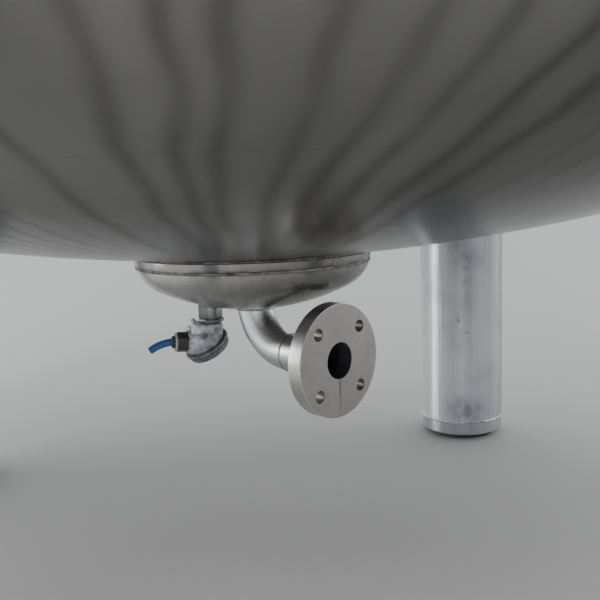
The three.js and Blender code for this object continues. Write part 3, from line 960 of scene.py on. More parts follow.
bodyRadius = probe["bodyRadius"]
bodyOutline = [
    (0, -0.0165),
    (0.010, -0.0163),
    (0.0145, -0.0145),
    (0.0172, -0.0115),
    (0.0188, -0.0075),
    (0.0198, -0.003),
    (bodyRadius, 0),
    (bodyRadius, 0.0006),
    (0, 0.0006),
]
probeBody = turnedPiece("probeBody", bodyOutline, 64)
aimPiece(probeBody, capWay, probeCentre)
collarOutline = [
    (0, 0.232),
    (0.0165, 0.232),
    (0.0158, 0.243),
    (0.0152, 0.2448),
    (0.0138, 0.2457),
    (0, 0.2457),
]
probeCollar = turnedPiece("probeCollar", collarOutline, 64)
standAt(probeCollar, (-0.003, 0.0701))
bossOutline = [(0, 0.006), (0.0098, 0.006), (0.0098, 0.0172), (0.009, 0.0181), (0, 0.0181)]
probeBoss = turnedPiece("probeBoss", bossOutline, 48)
aimPiece(probeBoss, glandWay, probeCentre)
mergeShape(probeBody, probeCollar)
mergeShape(probeBody, probeBoss)
capClear = softBlock("capClear", (0.09, 0.09, 0.03), (0, 0, 0.0157), 0.0001, 1)
aimPiece(capClear, capWay, probeCentre)
subtractShape(probeBody, capClear)
cableBore = softPrism("cableBore", 40, 0.0042, 0.014, (0, 0, 0.0145), 0.0001)
aimPiece(cableBore, glandWay, probeCentre)
subtractShape(probeBody, cableBore)
# the union is remeshed finely so that its inner corners flow as in a casting
useModifier(probeBody, "REMESH", mode="VOXEL", voxel_size=0.0006)
useModifier(probeBody, "SMOOTH", factor=0.5, iterations=6)
bpy.ops.object.shade_smooth()
# two cast lugs at the gland's side: one over the gland, one beside the neck
castLugs = []
for i, (x, y, z, size, lean) in enumerate(
    ((-0.0122, 0.0796, 0.2471, 0.0042, -0.5), (-0.0160, 0.0834, 0.2390, 0.0055, 0.8))
):
    block = softBlock(f"castLug{i}", (size, size, size * 1.4), (0, 0, 0), size * 0.3, 3)
    aimPiece(block, (lean * 0.7, -lean * 0.7, 0.8), (x, y, z))
    castLugs.append(block)
probeHead = joinAs("probeHead", probeBody, *castLugs)
dress(probeHead, castMetal("castMetal", 0.36, 2.3), "cast_aluminium", "probe_head")

capRadius = probe["capRadius"]
capOutline = [
    (0, 0.0007),
    (capRadius - 0.0016, 0.0007),
    (capRadius - 0.0004, 0.0011),
    (capRadius, 0.0018),
    (capRadius, 0.0037),
    (capRadius - 0.0006, 0.0042),
    (capRadius - 0.0016, 0.0044),
    (capRadius - 0.0016, 0.0050),
    (capRadius - 0.0009, 0.0054),
    (capRadius - 0.0018, 0.0094),
    (capRadius - 0.0026, 0.0106),
    (capRadius - 0.0040, 0.0111),
    (capRadius - 0.0090, 0.0113),
    (capRadius - 0.0100, 0.0120),
    (0, 0.0124),
]
probeCap = turnedPiece("probeCap", capOutline, 72)
aimPiece(probeCap, capWay, probeCentre)
# painted shade: the cap gets a darker copy of the cast metal
dress(probeCap, castMetal("castMetalShaded", 0.24, 1.2), "cast_aluminium", "probe_cap")


def plasticLook(name, colour, roughness):
    material, tree, shader, place = startMaterial(name)
    dust = blotchMask(tree, place, 0.012, 0.45, 0.75)
    fine = blotchMask(tree, place, 0.0008, 0.2, 0.8)
    dusty = tuple(c * 0.55 + 0.06 for c in colour[:3]) + (1,)
    rough = spread(tree, dust, 0, 1, roughness, roughness + 0.2)
    finishAs(tree, shader, blendColours(tree, dust, colour, dusty), rough, metallic=0.0)
    bumpFrom(tree, shader, fine, 0.0001, 0.5)
    return material


glandHex = softPrism(
    "glandHex",
    6,
    probe["hexWidth"] / math.sqrt(3),
    probe["hexEnd"] - probe["hexStart"] - 0.0024,
    (0, 0, (probe["hexEnd"] + probe["hexStart"]) / 2 - 0.0011),
    0.0007,
)
glandBore = softPrism("glandBore", 40, 0.0042, 0.03, (0, 0, probe["hexEnd"] - 0.009), 0.0001)
subtractShape(glandHex, glandBore)
nutOutline = [
    (0.0042, probe["hexEnd"] - 0.003),
    (0.0042, probe["hexEnd"]),
    (0.0047, probe["nutEnd"] - 0.001),
    (0.0052, probe["nutEnd"]),
    (0.0058, probe["nutEnd"] - 0.0003),
    (0.0063, probe["hexEnd"] + 0.0006),
    (0.0066, probe["hexEnd"] - 0.001),
    (0.0066, probe["hexEnd"] - 0.003),
    (0.0042, probe["hexEnd"] - 0.003),
]
glandNut = turnedPiece("glandNut", nutOutline, 40)
gland = joinAs("cableGland", glandHex, glandNut)
aimPiece(gland, glandWay, probeCentre)
blackPlastic = plasticLook("blackPlastic", (0.016, 0.017, 0.019, 1), 0.38)
dress(gland, blackPlastic, "black_plastic", "cable_gland")
sealRing = turnedPiece(
    "glandRing",
    [
        (0.0067, probe["hexEnd"] - 0.0022),
        (0.0092, probe["hexEnd"] - 0.0022),
        (0.0094, probe["hexEnd"] - 0.0014),
        (0.0088, probe["hexEnd"] - 0.0003),
        (0.0067, probe["hexEnd"] - 0.0002),
        (0.0067, probe["hexEnd"] - 0.0022),
    ],
    48,
)
aimPiece(sealRing, glandWay, probeCentre)
dress(sealRing, plasticLook("paleSeal", (0.42, 0.42, 0.40, 1), 0.5), "black_plastic")

# the cut end of the cable: filler and four cores
endWay = (cablePoints[-1] - cablePoints[-2]).normalized()
core = {"filler": 0.0031, "wire": 0.00085, "ring": 0.0016}
fillerOutline = [
    (0, -0.003),
    (core["filler"], -0.003),
    (core["filler"], 0.0001),
    (core["filler"] - 0.0004, 0.0003),
    (0, 0.0003),
]
filler = turnedPiece("cableFiller", fillerOutline, 32)
wires = [
    softPrism(f"wire{i}", 12, core["wire"], 0.0034, spot, 0.0001)
    for i, spot in enumerate(onCircle(core["ring"], -0.001, 4))
]
cableEnd = joinAs("cableCutEnd", filler, *wires)
aimPiece(cableEnd, endWay, cablePoints[-1])
dress(cableEnd, plasticLook("cutSheath", (0.05, 0.22, 0.26, 1), 0.5), "blue_cable")
print("probe made")

# legs

leg = {
    "radius": 0.06,
    "wall": 0.003,
    "ring": 0.52,
    "angle": 11,
    "padRadius": 0.088,
    "padThickness": 0.004,
    "capLow": 0.007,
    "capTop": 0.027,
    "footRadius": 0.048,
    "underPad": 0.0046,
    "light": (0.71, 0.725, 0.775, 1),
    "dark": (0.31, 0.318, 0.345, 1),
    # the tubes' darker side, set after the photograph's light: which way, and its share of the colour
    "darkWay": (0.69, -0.72, 0),
    "darkSide": 0.62,
    "capShade": 0.62,
    "beadLevel": 0.85,
    # smudges and knocks of the first leg: azimuth, its width, height, its width, strength
    "marks": (
        (-142.0, 25.0, 0.046, 0.018, 0.85),
        (-147.0, 15.0, 0.275, 0.03, 0.4),
        (-137.0, 9.0, 0.225, 0.05, 0.4),
        (-151.0, 1.8, 0.179, 0.0022, 1.0),
        (-139.7, 2.6, 0.161, 0.0018, 0.9),
        (144.7, 3.0, 0.244, 0.002, 0.8),
    ),
}


def legSteel(name, centre, shade=1.0, marks=(), darkSide=1.0):
    # tube with the drawn streaks, smudges and small knocks of a used leg, with painted shade towards its
    # top and on one side
    material, tree, shader, place = startMaterial(name, centre)
    around = useGroup(tree, "roundPlace", Place=place)
    angle, height = around["Angle"], around["Height"]
    unrolled = unrollOf(tree, angle, height)
    streaks = drawnGrain(tree, unrolled, (0.8, 1.6, 1.0))
    fine = drawnGrain(tree, unrolled, (3.0, 9.0, 1.0))
    smudge = blotchMask(tree, place, 0.05, 0.52, 0.72)
    drips = times(tree, spread(tree, streaks, 0.5, 0.66), spread(tree, height, 0.10, 0.03))
    ragged = spread(tree, blotchMask(tree, place, 0.012, 0.35, 0.6), 0, 1, 0.5, 1.2)
    shares = [
        (smudge, 0.3),
        (drips, 0.5),
        (spread(tree, streaks, 0.35, 0.65), 0.25),
        (blotchMask(tree, place, 0.006, 0.7, 0.76), 0.4),  # small knocks
        # painted shade: darker towards the top, under the dish
        (spread(tree, height, 0.14, 0.27), 0.3),
    ]
    for azimuth, wide, level, high, much in marks:
        patch = times(tree, bandMask(tree, angle, azimuth, wide), bandMask(tree, height, level, high))
        shares.append((times(tree, patch, ragged), much))
    tone = clamped(tree, weigh(tree, *shares))
    sheet = blendColours(tree, tone, shaded(leg["light"], shade), shaded(leg["dark"], shade))
    sheet = toned(tree, sheet, towards(tree, place, leg["darkWay"], -0.02, 0.055), darkSide)
    rough = weigh(tree, (spread(tree, fine, 0.3, 0.7, 0.29, 0.38), 1.0), (smudge, 0.08))
    finishAs(tree, shader, sheet, rough, metallic=0.62)
    drawOut(shader, 0.95)
    bumpFrom(tree, shader, weigh(tree, (streaks, 0.5), (fine, 0.12)), 0.0009, 0.6)
    return material


rubberFeet = plasticLook("footRubber", (0.022, 0.022, 0.022, 1), 0.7)
dropOn = {"target": bottomHead, "wrap_method": "PROJECT", "use_project_z": True}
for number in range(1, 5):
    spot = atAzimuth(leg["ring"], leg["angle"] + 90 * (number - 1))
    marks = leg["marks"] if number == 1 else ()
    steel = legSteel(f"legSteel{number}", (*spot, 0), marks=marks, darkSide=leg["darkSide"])
    capSteel = legSteel(f"legCapSteel{number}", (*spot, 0), leg["capShade"])

    padSteps = [leg["padRadius"] * i / 12 for i in range(13)]
    pad = turnedPiece(f"legPad{number}", [(r, 0.30) for r in padSteps], 96)
    standAt(pad, spot)
    useModifier(pad, "SHRINKWRAP", offset=seamGap, **dropOn)
    editAll(pad)
    bpy.ops.mesh.normals_make_consistent(inside=False)
    bpy.ops.object.mode_set(mode="OBJECT")
    upwards = sum(face.normal.z for face in pad.data.polygons) > 0
    useModifier(pad, "SOLIDIFY", thickness=leg["padThickness"], offset=-1 if upwards else 1)
    roundEdges(pad, 0.0011, 3)
    cleanMesh(pad)
    dress(pad, steel, "leg_steel", f"leg_pad_{number}")

    tube = startRing(f"legTube{number}", 96, leg["radius"], (*spot, leg["capTop"] + seamGap))
    extrudeBy(0, 0, 0.25)
    bpy.ops.object.mode_set(mode="OBJECT")
    topLoop = tube.vertex_groups.new(name="topLoop")
    topLoop.add([v.index for v in tube.data.vertices if v.co.z > 0.2], 1.0, "REPLACE")
    useModifier(tube, "SHRINKWRAP", offset=leg["underPad"], vertex_group="topLoop", **dropOn)
    cleanMesh(tube)
    thicken(tube, leg["wall"])
    dress(tube, steel, "leg_steel", f"leg_tube_{number}")

    capLow, capTop = leg["capLow"], leg["capTop"]
    capEdge = leg["radius"] - 0.0013
    corner = 0.003
    capOutline = [(0, capLow + 0.001), (capEdge - 2 * corner, capLow)]
    for i in range(7):
        a = math.radians(15 * i)
        out, up = corner * math.sin(a), corner * math.cos(a)
        capOutline.append((capEdge - corner + out, capLow + corner - up))
    capOutline += [(capEdge, capTop - 0.0004), (capEdge - 0.001, capTop), (0, capTop)]
    cap = turnedPiece(f"legCap{number}", capOutline, 96, 50)
    standAt(cap, spot)
    dress(cap, capSteel, "leg_steel", f"leg_cap_{number}")

    lowBead = ringBead(
        f"legLowBead{number}", leg["radius"] - 0.0005, capTop + 0.0002, 120, 0.0017, spot
    )
    topBead = ringBead(
        f"legTopBead{number}",
        leg["radius"] + 0.0018,
        lambda r: onCrown(r) - leg["padThickness"] - 0.0014,
        96,
        0.0026,
        spot,
    )
    padBead = ringBead(
        f"legPadBead{number}",
        leg["padRadius"] + 0.0008,
        lambda r: onCrown(r) - 0.0014,
        120,
        0.0020,
        spot,
    )
    beads = joinAs(f"legBeads{number}", lowBead, topBead, padBead)
    dress(beads, beadSteel(f"legBeadSteel{number}", (*spot, 0), 130, leg["beadLevel"]), "leg_steel")

    foot, footTop = leg["footRadius"], capLow - 0.0002
    footOutline = [
        (0, 0),
        (foot - 0.0008, 0),
        (foot, 0.0008),
        (foot - 0.0006, footTop - 0.0006),
        (foot - 0.0016, footTop),
        (0, footTop),
    ]
    footPad = turnedPiece(f"legFoot{number}", footOutline, 72)
    standAt(footPad, spot)
    dress(footPad, rubberFeet, "dark_rubber", f"foot_pad_{number}")
print("legs made")

# shell of two courses, and the welds between them

shell = {"wall": 0.004, "lower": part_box("shell_lower"), "upper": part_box("shell_upper"), "steps": 240}
seamLevels = [shell["lower"][0].z, shell["lower"][1].z, shell["upper"][1].z]


def shellSteel():
    # rolled sheet: fine lines round the tank, soft clouds and rain streaks
    material, tree, shader, place = startMaterial("shellSteel")
    around = useGroup(tree, "roundPlace", Place=place)
    unrolled = unrollOf(tree, around["Angle"], around["Height"])
    lines = drawnGrain(tree, unrolled, (0.12, 420.0, 1.0))
    streaks = spread(tree, drawnGrain(tree, unrolled, (0.55, 0.9, 1.0)), 0.45, 0.75)
    cloud = blotchMask(tree, place, 0.3, 0.35, 0.7)
    heatLines = [(bandMask(tree, around["Height"], level, 0.014), 0.35) for level in seamLevels]
    tone = clamped(tree, weigh(tree, (cloud, 0.25), (streaks, 0.35), *heatLines))
    sheet = blendColours(tree, tone, grey(0.52), grey(0.3, 0.01))
    finishAs(tree, shader, sheet, spread(tree, lines, 0.3, 0.7, 0.3, 0.42))
    bumpFrom(tree, shader, weigh(tree, (cloud, 0.4), (lines, 0.01)), 0.006, 0.5)
    return material


sheetSteel = shellSteel()
for side, node in (("lower", "shell_lower"), ("upper", "shell_upper")):
    low, high = shell[side][0].z, shell[side][1].z
    outline = [(head["radius"], low + (high - low) * i / 8) for i in range(9)]
    course = turnedPiece(f"{side}Course", outline, shell["steps"])
    thicken(course, shell["wall"])
    dress(course, sheetSteel, "shell_steel", node)

seamSteel = beadSteel("seamSteel", ripples=420)
roundSeams = [
    flatBead(f"roundSeam{i}", head["radius"], level, 0.009, 0.0011, shell["steps"])
    for i, level in enumerate(seamLevels)
]
dress(joinAs("roundSeams", *roundSeams), seamSteel, "shell_steel")

seam = {"width": 0.7, "proud": 0.0008, "angles": (150, 205)}  # degrees of arc, metres, azimuths
uprightSeams = []
for i, side in enumerate(("lower", "upper")):
    low, high = shell[side][0].z + 0.002, shell[side][1].z - 0.002
    back, face = head["radius"] - 0.001, head["radius"] + seam["proud"]
    outline = [(back, low), (face, low), (face, high), (back, high), (back, low)]
    strip = turnedPiece(f"uprightSeam{i}", outline, 6, 35, seam["width"])
    pick(strip)
    bpy.ops.object.mode_set(mode="EDIT")
    bpy.ops.mesh.select_all(action="DESELECT")
    bpy.ops.mesh.select_non_manifold()
    bpy.ops.mesh.fill_holes(sides=0)
    bpy.ops.object.mode_set(mode="OBJECT")
    roundEdges(strip, 0.0007, 3)
    cleanMesh(strip)
    turnAboutZ(strip, seam["angles"][i])
    uprightSeams.append(strip)
uprightSeamSteel = straightBeadSteel(
    "uprightSeamSteel", 2, 0.03, 0.7, (grey(0.45), grey(0.25, 0.03)), (0.28, 0.42), 1800.0, 0.0003
)
dress(joinAs("uprightSeams", *uprightSeams), uprightSeamSteel, "shell_steel")
print("shell made")

# top head

top = {"rim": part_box("top_head")[0].z, "bore": 0.2002}
rimDepth = bottomOutline[-2][1] - head["lowest"]
crownTop = top["rim"] + head["skirt"] + rimDepth
topLook = {
    **headLook,
    "light": grey(0.5),
    "dark": grey(0.3, 0.01),
    "roughness": (0.3, 0.42),
    # only a weak painted shade on the top head
    "shadedSideAt": (0.0, 60.0, 0.1),
    "lighter": (),
}
topOutline = [
    (r, crownTop - z)
    for r, z in dishedOutline(head["radius"], head["crown"], head["knuckle"], top["bore"], 20, 18)
]
topOutline = [*topOutline, (head["radius"], top["rim"])]
topHead = turnedPiece("topHead", topOutline, head["steps"])
thicken(topHead, head["wall"])
topSteel = headSteel("topHeadSteel", topLook, 0.35, seams=[(top["rim"], 0.012)])
dress(topHead, topSteel, "shell_steel", "top_head")


def onTop(radius):  # height of the top head's outer face
    return crownTop - head["crown"] + math.sqrt(head["crown"] ** 2 - radius**2)


def cutToHead(piece):  # what is below the top head's outer face goes
    cutOutline = [(0, top["rim"]), *reversed(topOutline), (0, topOutline[0][1])]
    subtractShape(piece, turnedPiece("cutBody", cutOutline, 120))


def satinSteel(name, light=0.5, dark=0.28, rough=(0.26, 0.4), stretch=(120.0, 120.0, 120.0)):
    material, tree, shader, place = startMaterial(name)
    cloud = blotchMask(tree, place, 0.05, 0.35, 0.7)
    grain = drawnGrain(tree, place, stretch)
    tone = weigh(tree, (cloud, 0.45), (blotchMask(tree, place, 0.008, 0.66, 0.78), 0.3))
    sheet = blendColours(tree, tone, grey(light), grey(dark, 0.01))
    finishAs(tree, shader, sheet, spread(tree, grain, 0.3, 0.7, *rough))
    bumpFrom(tree, shader, weigh(tree, (grain, 1.0), (cloud, 0.4)), 0.0003, 0.5)
    return material


fittingSteel = satinSteel("fittingSteel")

# manway: neck, gasket, cover, swing bolts and hinge

manway = {
    "radius": 0.2032,
    "wall": 0.003,
    "top": crownTop + 0.09,
    "collar": 0.014,
    "collarHeight": 0.008,
    "gasket": 0.006,
    "coverThickness": 0.005,
    "domeHeight": 0.037,
    "ear": 0.008,
    "boltRadius": 0.006,
    "threads": 29,
    "pitch": 0.00175,
    "knobRadius": 0.025,
    "boltAngles": (0, 180, 270),
}
manwayTop = manway["top"]
neckRadius = manway["radius"]
inner = neckRadius - manway["wall"]
collar = neckRadius + manway["collar"]
neckLow = onTop(neckRadius) + seamGap
neckEdge = manwayTop - manway["collarHeight"]
manwayOutline = [
    (inner, neckLow - 0.012),
    (neckRadius, neckLow),
    (neckRadius, neckEdge - 0.002),
    (neckRadius + 0.0008, neckEdge - 0.0006),
    (neckRadius + 0.0025, neckEdge),
    (collar - 0.0008, neckEdge),
    (collar, neckEdge + 0.0008),
    (collar, manwayTop - 0.0008),
    (collar - 0.0008, manwayTop),
    (inner + 0.0006, manwayTop),
    (inner, manwayTop - 0.0006),
    (inner, neckLow - 0.012),
]
manwayNeck = turnedPiece("manwayNeck", manwayOutline, 160, 30)
neckFillet = ringBead("neckFillet", neckRadius + 0.0012, neckLow + 0.0008, 160, 0.0028)
dress(manwayNeck, fittingSteel, "fitting_steel", "manway_neck")
dress(neckFillet, beadSteel("neckFilletSteel", ripples=300), "fitting_steel")

gasketLow = manwayTop + seamGap
gasketHigh = gasketLow + manway["gasket"]
gasketInner = neckRadius - 0.001
gasketOutline = [
    (gasketInner, gasketLow),
    (neckRadius + 0.008, gasketLow),
    (neckRadius + 0.0096, gasketLow + 0.0012),
    (neckRadius + 0.0102, gasketLow + 0.003),
    (neckRadius + 0.0096, gasketHigh - 0.0012),
    (neckRadius + 0.008, gasketHigh),
    (gasketInner, gasketHigh),
    (gasketInner, gasketLow),
]
gasket = turnedPiece("manwayGasket", gasketOutline, 144)
gasketRubber = plasticLook("gasketRubber", (0.03, 0.03, 0.03, 1), 0.6)
dress(gasket, gasketRubber, "dark_rubber", "manway_gasket")

coverLow = gasketHigh + seamGap
coverEdge = collar + 0.002
earTop = coverLow + manway["ear"]
earMiddle = coverLow + manway["ear"] / 2
flat = neckRadius - 0.014
thick = manway["coverThickness"]
coverCrown = []
for i in range(15):  # a shallow dome that runs out into the flat rim
    t = 1 - i / 14
    coverCrown.append((flat * t, coverLow + manway["domeHeight"] * (1 - t**2.2)))
coverOutline = [
    (flat, coverLow),
    (coverEdge - 0.0008, coverLow),
    (coverEdge, coverLow + 0.0008),
    (coverEdge, coverLow + thick - 0.0008),
    (coverEdge - 0.0008, coverLow + thick),
    (flat + 0.003, coverLow + thick),
    *[(r, z + thick) for r, z in coverCrown[1:]],
    *reversed(coverCrown),
]
cover = turnedPiece("manwayCover", coverOutline, 144)
hingeRadius = coverEdge + 0.034
boltPlace = coverEdge + 0.014
ears = []
for degrees in manway["boltAngles"]:
    ear = softBlock("ear", (0.036, 0.046, manway["ear"]), (boltPlace - 0.004, 0, earMiddle), 0.0001)
    slotCut = softBlock("slotCut", (0.04, 0.016, 0.04), (boltPlace + 0.014, 0, coverLow), 0.0001, 1)
    subtractShape(ear, slotCut)
    subtractShape(ear, plainBar("slotEnd", 32, 0.008, 0.04, (boltPlace - 0.006, 0, coverLow)))
    roundEdges(ear, 0.0009, angle_limit=math.radians(50))
    smoothShade(ear, 30)
    ears.append(turnAboutZ(ear, degrees))
strap = softBlock("strap", (0.05, 0.06, manway["ear"]), (0, hingeRadius - 0.037, earMiddle), 0.001)
cover = joinAs("manwayCover", cover, *ears, strap)
coverSteel = satinSteel("coverSteel", 0.52, 0.3, (0.24, 0.36), (60.0, 60.0, 400.0))
dress(cover, coverSteel, "fitting_steel", "manway_cover")

forkLow = manwayTop - 0.044
forkInner = neckRadius + seamGap
forkMiddle = forkLow + 0.017
knobLow = earTop + 0.002
studRadius = manway["boltRadius"]
for number, degrees in enumerate(manway["boltAngles"], 1):
    bridge = softBlock("bridge", (0.006, 0.024, 0.034), (forkInner + 0.003, 0, forkMiddle), 0.0008)
    cheeks = [
        softBlock("cheek", (0.034, 0.006, 0.034), (forkInner + 0.017, y, forkMiddle), 0.0012)
        for y in (-0.010, 0.010)
    ]
    pinShape = softPrism("pin", 32, 0.004, 0.032, (0, 0, 0), 0.0006)
    aimPiece(pinShape, (0, 1, 0), (boltPlace, 0, forkLow + 0.008))
    fork = joinAs(f"boltFork{number}", bridge, *cheeks, pinShape)
    turnAboutZ(fork, degrees)
    dress(fork, fittingSteel, "fitting_steel", f"bolt_fork_{number}")
    studOutline = [(0, forkLow + 0.0125), (studRadius, forkLow + 0.0125)]
    for i in range(manway["threads"]):  # thread rings over the upper half of the stud
        z = earTop - 0.012 + manway["pitch"] * i
        studOutline += [(studRadius, z), (studRadius - 0.0007, z + 0.00088)]
    studTop = knobLow + 0.038
    studOutline += [(studRadius, studTop - 0.001), (studRadius - 0.001, studTop), (0, studTop)]
    stud = turnedPiece("stud", studOutline, 40, 40)
    washerOutline = [
        (0.0062, earTop + seamGap),
        (0.0145, earTop + seamGap),
        (0.015, earTop + 0.0008),
        (0.015, earTop + 0.0015),
        (0.0145, earTop + 0.0019),
        (0.0062, earTop + 0.0019),
        (0.0062, earTop + seamGap),
    ]
    washer = turnedPiece("washer", washerOutline, 48)
    knob = softPrism("knob", 8, manway["knobRadius"], 0.024, (0, 0, knobLow + 0.012), 0.004)
    bolt = joinAs(f"swingBolt{number}", stud, washer, knob)
    useModifier(bolt, "TRIANGULATE")
    smoothShade(bolt, 35)
    turnAboutZ(bolt, degrees, (*atAzimuth(boltPlace, degrees), 0))
    dress(bolt, fittingSteel, "fitting_steel", f"swing_bolt_{number}")

hingeCheeks = []
for x in (-0.031, 0.031):
    cheek = softBlock(
        "hingeCheek", (0.006, 0.042, 0.071), (x, hingeRadius - 0.008, coverLow - 0.0265), 0.0001, 1
    )
    cheekFoot = softBlock(
        "hingeFoot", (0.006, 0.05, 0.05), (x, hingeRadius - 0.024, coverLow - 0.037), 0.0001, 1
    )
    mergeShape(cheek, cheekFoot)
    roundEdges(cheek, 0.0012, angle_limit=math.radians(50))
    evenNormals(cheek)
    hingeCheeks.append(cheek)
pinShape = softPrism("hingePin", 40, 0.006, 0.074, (0, 0, 0), 0.001)
aimPiece(pinShape, (1, 0, 0), (0, hingeRadius, earMiddle))
hinge = joinAs("manwayHinge", pinShape, *hingeCheeks)
dress(hinge, fittingSteel, "fitting_steel", "manway_hinge")
print("manway made")

# vent, inlet and lifting lugs on the top head

vent = {
    "radius": 0.03015,
    "wall": 0.002,
    "bend": 0.076,
    "offset": 0.4,
    "rise": 0.13,
    "drop": 0.04,
    "azimuth": 135,
}
ventFoot = onTop(vent["offset"]) - 0.02
bendLevel = crownTop + vent["rise"]
ventPipe = startRing("ventPipe", 72, vent["radius"], (vent["offset"], 0, ventFoot))
extrudeBy(0, 0, bendLevel - ventFoot)
bpy.ops.mesh.spin(
    steps=48,
    angle=math.radians(-180),
    center=(vent["offset"] + vent["bend"], 0, bendLevel),
    axis=(0, 1, 0),
)
extrudeBy(0, 0, -vent["drop"])
bpy.ops.object.mode_set(mode="OBJECT")
cleanMesh(ventPipe)
thicken(ventPipe, vent["wall"])
roundEdges(ventPipe, 0.0005, angle_limit=math.radians(60))
cutToHead(ventPipe)
smoothShade(ventPipe, 35)
turnAboutZ(ventPipe, vent["azimuth"])
ventBeads = [
    ringBead("ventElbowBead", vent["radius"] - 0.0003, bendLevel, 72, 0.0012, (x, 0))
    for x in (vent["offset"], vent["offset"] + 2 * vent["bend"])
]
ventBeads.append(
    ringBead(
        "ventFootBead",
        vent["radius"] + 0.0012,
        lambda r: onTop(r) + 0.0008,
        72,
        0.0024,
        (vent["offset"], 0),
    )
)
ventBead = joinAs("ventBeads", *ventBeads)
turnAboutZ(ventBead, vent["azimuth"])
ventSteel = satinSteel("ventSteel", 0.52, 0.3, (0.22, 0.34), (200.0, 200.0, 30.0))
dress(ventPipe, ventSteel, "pipe_steel", "vent_pipe")
ventCentre = (*atAzimuth(vent["offset"], vent["azimuth"]), 0)
dress(ventBead, beadSteel("ventBeadSteel", ventCentre), "pipe_steel")

inlet = {"offset": 0.4, "azimuth": 225, "rise": 0.09}
inletSpot = atAzimuth(inlet["offset"], inlet["azimuth"])
inletTop = crownTop + inlet["rise"]
inletFoot = onTop(inlet["offset"]) + seamGap
pipeRadius = outlet["radius"]
pipeInner = pipeRadius - outlet["wall"]
inletOutline = [
    (pipeInner, inletFoot - 0.006),
    (pipeRadius, inletFoot - 0.002),
    (pipeRadius, inletTop - 0.0002),
    (pipeInner, inletTop),
    (pipeInner, inletFoot - 0.006),
]
inletPipe = turnedPiece("inletPipe", inletOutline, 72)
standAt(inletPipe, inletSpot)
dress(inletPipe, ventSteel, "pipe_steel", "inlet_pipe")
inletBeads = joinAs(
    "inletBeads",
    ringBead("inletFootBead", pipeRadius + 0.001, lambda r: onTop(r) + 0.0006, 64, 0.002, inletSpot),
    ringBead("inletTopBead", pipeRadius + 0.0006, inletTop - 0.0006, 64, 0.002, inletSpot),
)
dress(inletBeads, beadSteel("inletBeadSteel", (*inletSpot, 0)), "pipe_steel")
aimPiece(inletFlange, (0, 0, 1), (*inletSpot, inletTop + seamGap))
inletFlangeSteel = flangeSteel("inletFlangeSteel", (*inletSpot, 0), (0, 0, 0), runs=False)
dress(inletFlange, inletFlangeSteel, "flange_steel", "inlet_flange")

lifting = {"thickness": 0.012, "width": 0.09, "eye": 0.018, "place": 0.5, "below": 0.025}
eyeLevel = crownTop - lifting["below"]
half = lifting["width"] / 2
lugFoot = onTop(lifting["place"] + half) - 0.004
lugSize = (lifting["width"], lifting["thickness"], eyeLevel - lugFoot)
beadOffset = lifting["thickness"] / 2 + 0.001
lugBeads = []
for number, side in ((1, 1), (2, -1)):
    middle = side * lifting["place"]
    plate = softBlock("lugPlate", lugSize, (middle, 0, (eyeLevel + lugFoot) / 2), 0.0001, 1)
    disc = plainBar("lugDisc", 96, half, lifting["thickness"])
    aimPiece(disc, (0, 1, 0), (middle, 0, eyeLevel))
    mergeShape(plate, disc)
    eye = plainBar("eyeDrill", 64, lifting["eye"], 0.05)
    aimPiece(eye, (0, 1, 0), (middle, 0, eyeLevel))
    subtractShape(plate, eye)
    cutToHead(plate)
    roundEdges(plate, 0.0012, angle_limit=math.radians(50))
    smoothShade(plate, 30)
    lugPiece = nameAs(f"liftingLug{number}")
    dress(lugPiece, fittingSteel, "fitting_steel", f"lifting_lug_{number}")
    for edge in (-1, 1):
        places = [middle + (half - 0.001) * (i / 12 - 1) for i in range(25)]
        line = [(x, edge * beadOffset, onTop(abs(x)) + 0.0012) for x in places]
        lugBeads.append(roundLine(f"lugBead{number}{edge}", line, 0.0026))
lugBeadSteel = straightBeadSteel(
    "lugBeadSteel", 0, 0.012, 0.65, (grey(0.42), grey(0.17, 0.05)), (0.26, 0.45), 2200.0, 0.0005
)
dress(joinAs("lugBeads", *lugBeads), lugBeadSteel, "fitting_steel")
print("top fittings made")

# bare plate on its bracket

board = {
    "azimuth": 30,
    "width": 0.15,
    "height": 0.10,
    "level": 1.5,
    "depth": 0.03,
    "sheet": 0.003,
    "plate": 0.0015,
}
boardFace = -(head["radius"] + board["depth"])
sheetBack = boardFace + board["sheet"]
backing = softBlock(
    "backing",
    (board["width"], board["sheet"], board["height"]),
    (0, boardFace + board["sheet"] / 2, board["level"]),
    0.0008,
)
arms = []
for side in (-1, 1):
    x = side * (board["width"] / 2 - 0.02)
    reach = -math.sqrt(head["radius"] ** 2 - x * x) - sheetBack + 0.0005
    armPlace = (x, sheetBack + reach / 2 - 0.0002, board["level"])
    arms.append(softBlock("arm", (0.004, reach + 0.001, 0.07), armPlace, 0.0006))
bracket = joinAs("plateBracket", backing, *arms)
turnAboutZ(bracket, board["azimuth"])
dress(bracket, fittingSteel, "fitting_steel", "plate_bracket")
plateWide = board["width"] - 0.02
plateHigh = board["height"] - 0.02
barePlate = softBlock(
    "plateSheet",
    (plateWide, board["plate"], plateHigh),
    (0, boardFace - board["plate"] / 2 - seamGap, board["level"]),
    0.0003,
)
rivetOutline = [(0, 0.0014), (0.0012, 0.0012), (0.0021, 0.0006), (0.0024, 0), (0, 0)]
rivetFace = boardFace - board["plate"] - seamGap
rivets = []
for x in (-1, 1):
    for z in (-1, 1):
        rivet = turnedPiece("rivet", rivetOutline, 24)
        across, up = x * (plateWide / 2 - 0.008), board["level"] + z * (plateHigh / 2 - 0.008)
        rivets.append(aimPiece(rivet, (0, -1, 0), (across, rivetFace, up)))
barePlate = joinAs("namePlate", barePlate, *rivets)
turnAboutZ(barePlate, board["azimuth"])
plateSteel = satinSteel("plateSteel", 0.6, 0.42, (0.24, 0.34), (30.0, 30.0, 900.0))
dress(barePlate, plateSteel, "fitting_steel", "name_plate")

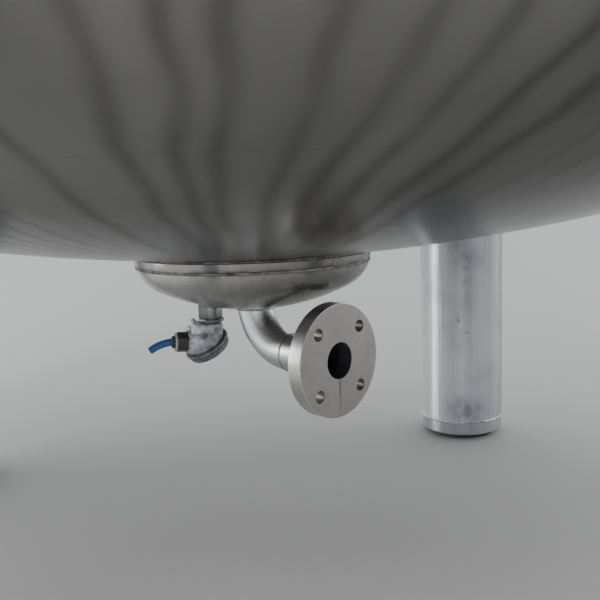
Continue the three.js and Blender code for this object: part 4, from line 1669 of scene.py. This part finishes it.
# carried-over solids, if any are left, get the satin steel
for name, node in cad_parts.items():
    if not node.hide_render:
        node.data.materials.clear()
        node.data.materials.append(fittingSteel)
        print("shown as it is:", name)

# floor and light

stage = {
    "floor": (0.62, 0.615, 0.6, 1),
    "sky": (0.90, 0.92, 0.95, 1),
    "skyStrength": 1.1,
    # lamps: place, what they face, width and height, watts, whether they light the floor
    "lamps": {
        "keyLight": ((-3.2, -2.2, 4.2), (0, 0, 1.6), (2.5, 2.5), 220, True),
        "leftLight": ((-1.9, 2.3, 0.95), (0.2, 0.1, 0.1), (0.35, 1.9), 26, False),
        "sideLight": ((-0.14, 0.78, 0.19), (0.5, 0.1, 0.19), (0.12, 0.34), 2.0, False),
        "frontLight": ((-2.9, -3.3, 0.5), (0.3, 0.3, 0.1), (4.6, 0.9), 10, True),
        "rightLight": ((3.2, -1.5, 0.85), (0.2, 0.1, 0.1), (1.2, 1.6), 12, True),
    },
}
deselectAll()
bpy.ops.mesh.primitive_plane_add(size=40, location=(0, 0, 0))
floor = nameAs("floor")
floorMaterial = bpy.data.materials.new("paleFloor")
floorMaterial.use_nodes = True
floorShader = floorMaterial.node_tree.nodes["Principled BSDF"]
floorShader.inputs["Base Color"].default_value = stage["floor"]
floorShader.inputs["Roughness"].default_value = 0.8
floor.data.materials.append(floorMaterial)

world = bpy.context.scene.world or bpy.data.worlds.new("studio")
bpy.context.scene.world = world
world.use_nodes = True
background = world.node_tree.nodes["Background"]
background.inputs[0].default_value = stage["sky"]
background.inputs[1].default_value = stage["skyStrength"]

for name, (place, target, size, power, lightsFloor) in stage["lamps"].items():
    deselectAll()
    bpy.ops.object.light_add(type="AREA", location=place)
    lamp = nameAs(name)
    lamp.data.shape = "RECTANGLE"
    lamp.data.size, lamp.data.size_y = size
    lamp.data.energy = power
    lamp.rotation_mode = "QUATERNION"
    lamp.rotation_quaternion = (Vector(target) - Vector(place)).to_track_quat("-Z", "Y")
    if not lightsFloor:  # a low lamp leaves no bright patch on the floor
        leftDark = bpy.data.collections.new(name + "LeavesOut")
        leftDark.objects.link(floor)
        lamp.light_linking.receiver_collection = leftDark
        leftDark.collection_objects[0].light_linking.link_state = "EXCLUDE"
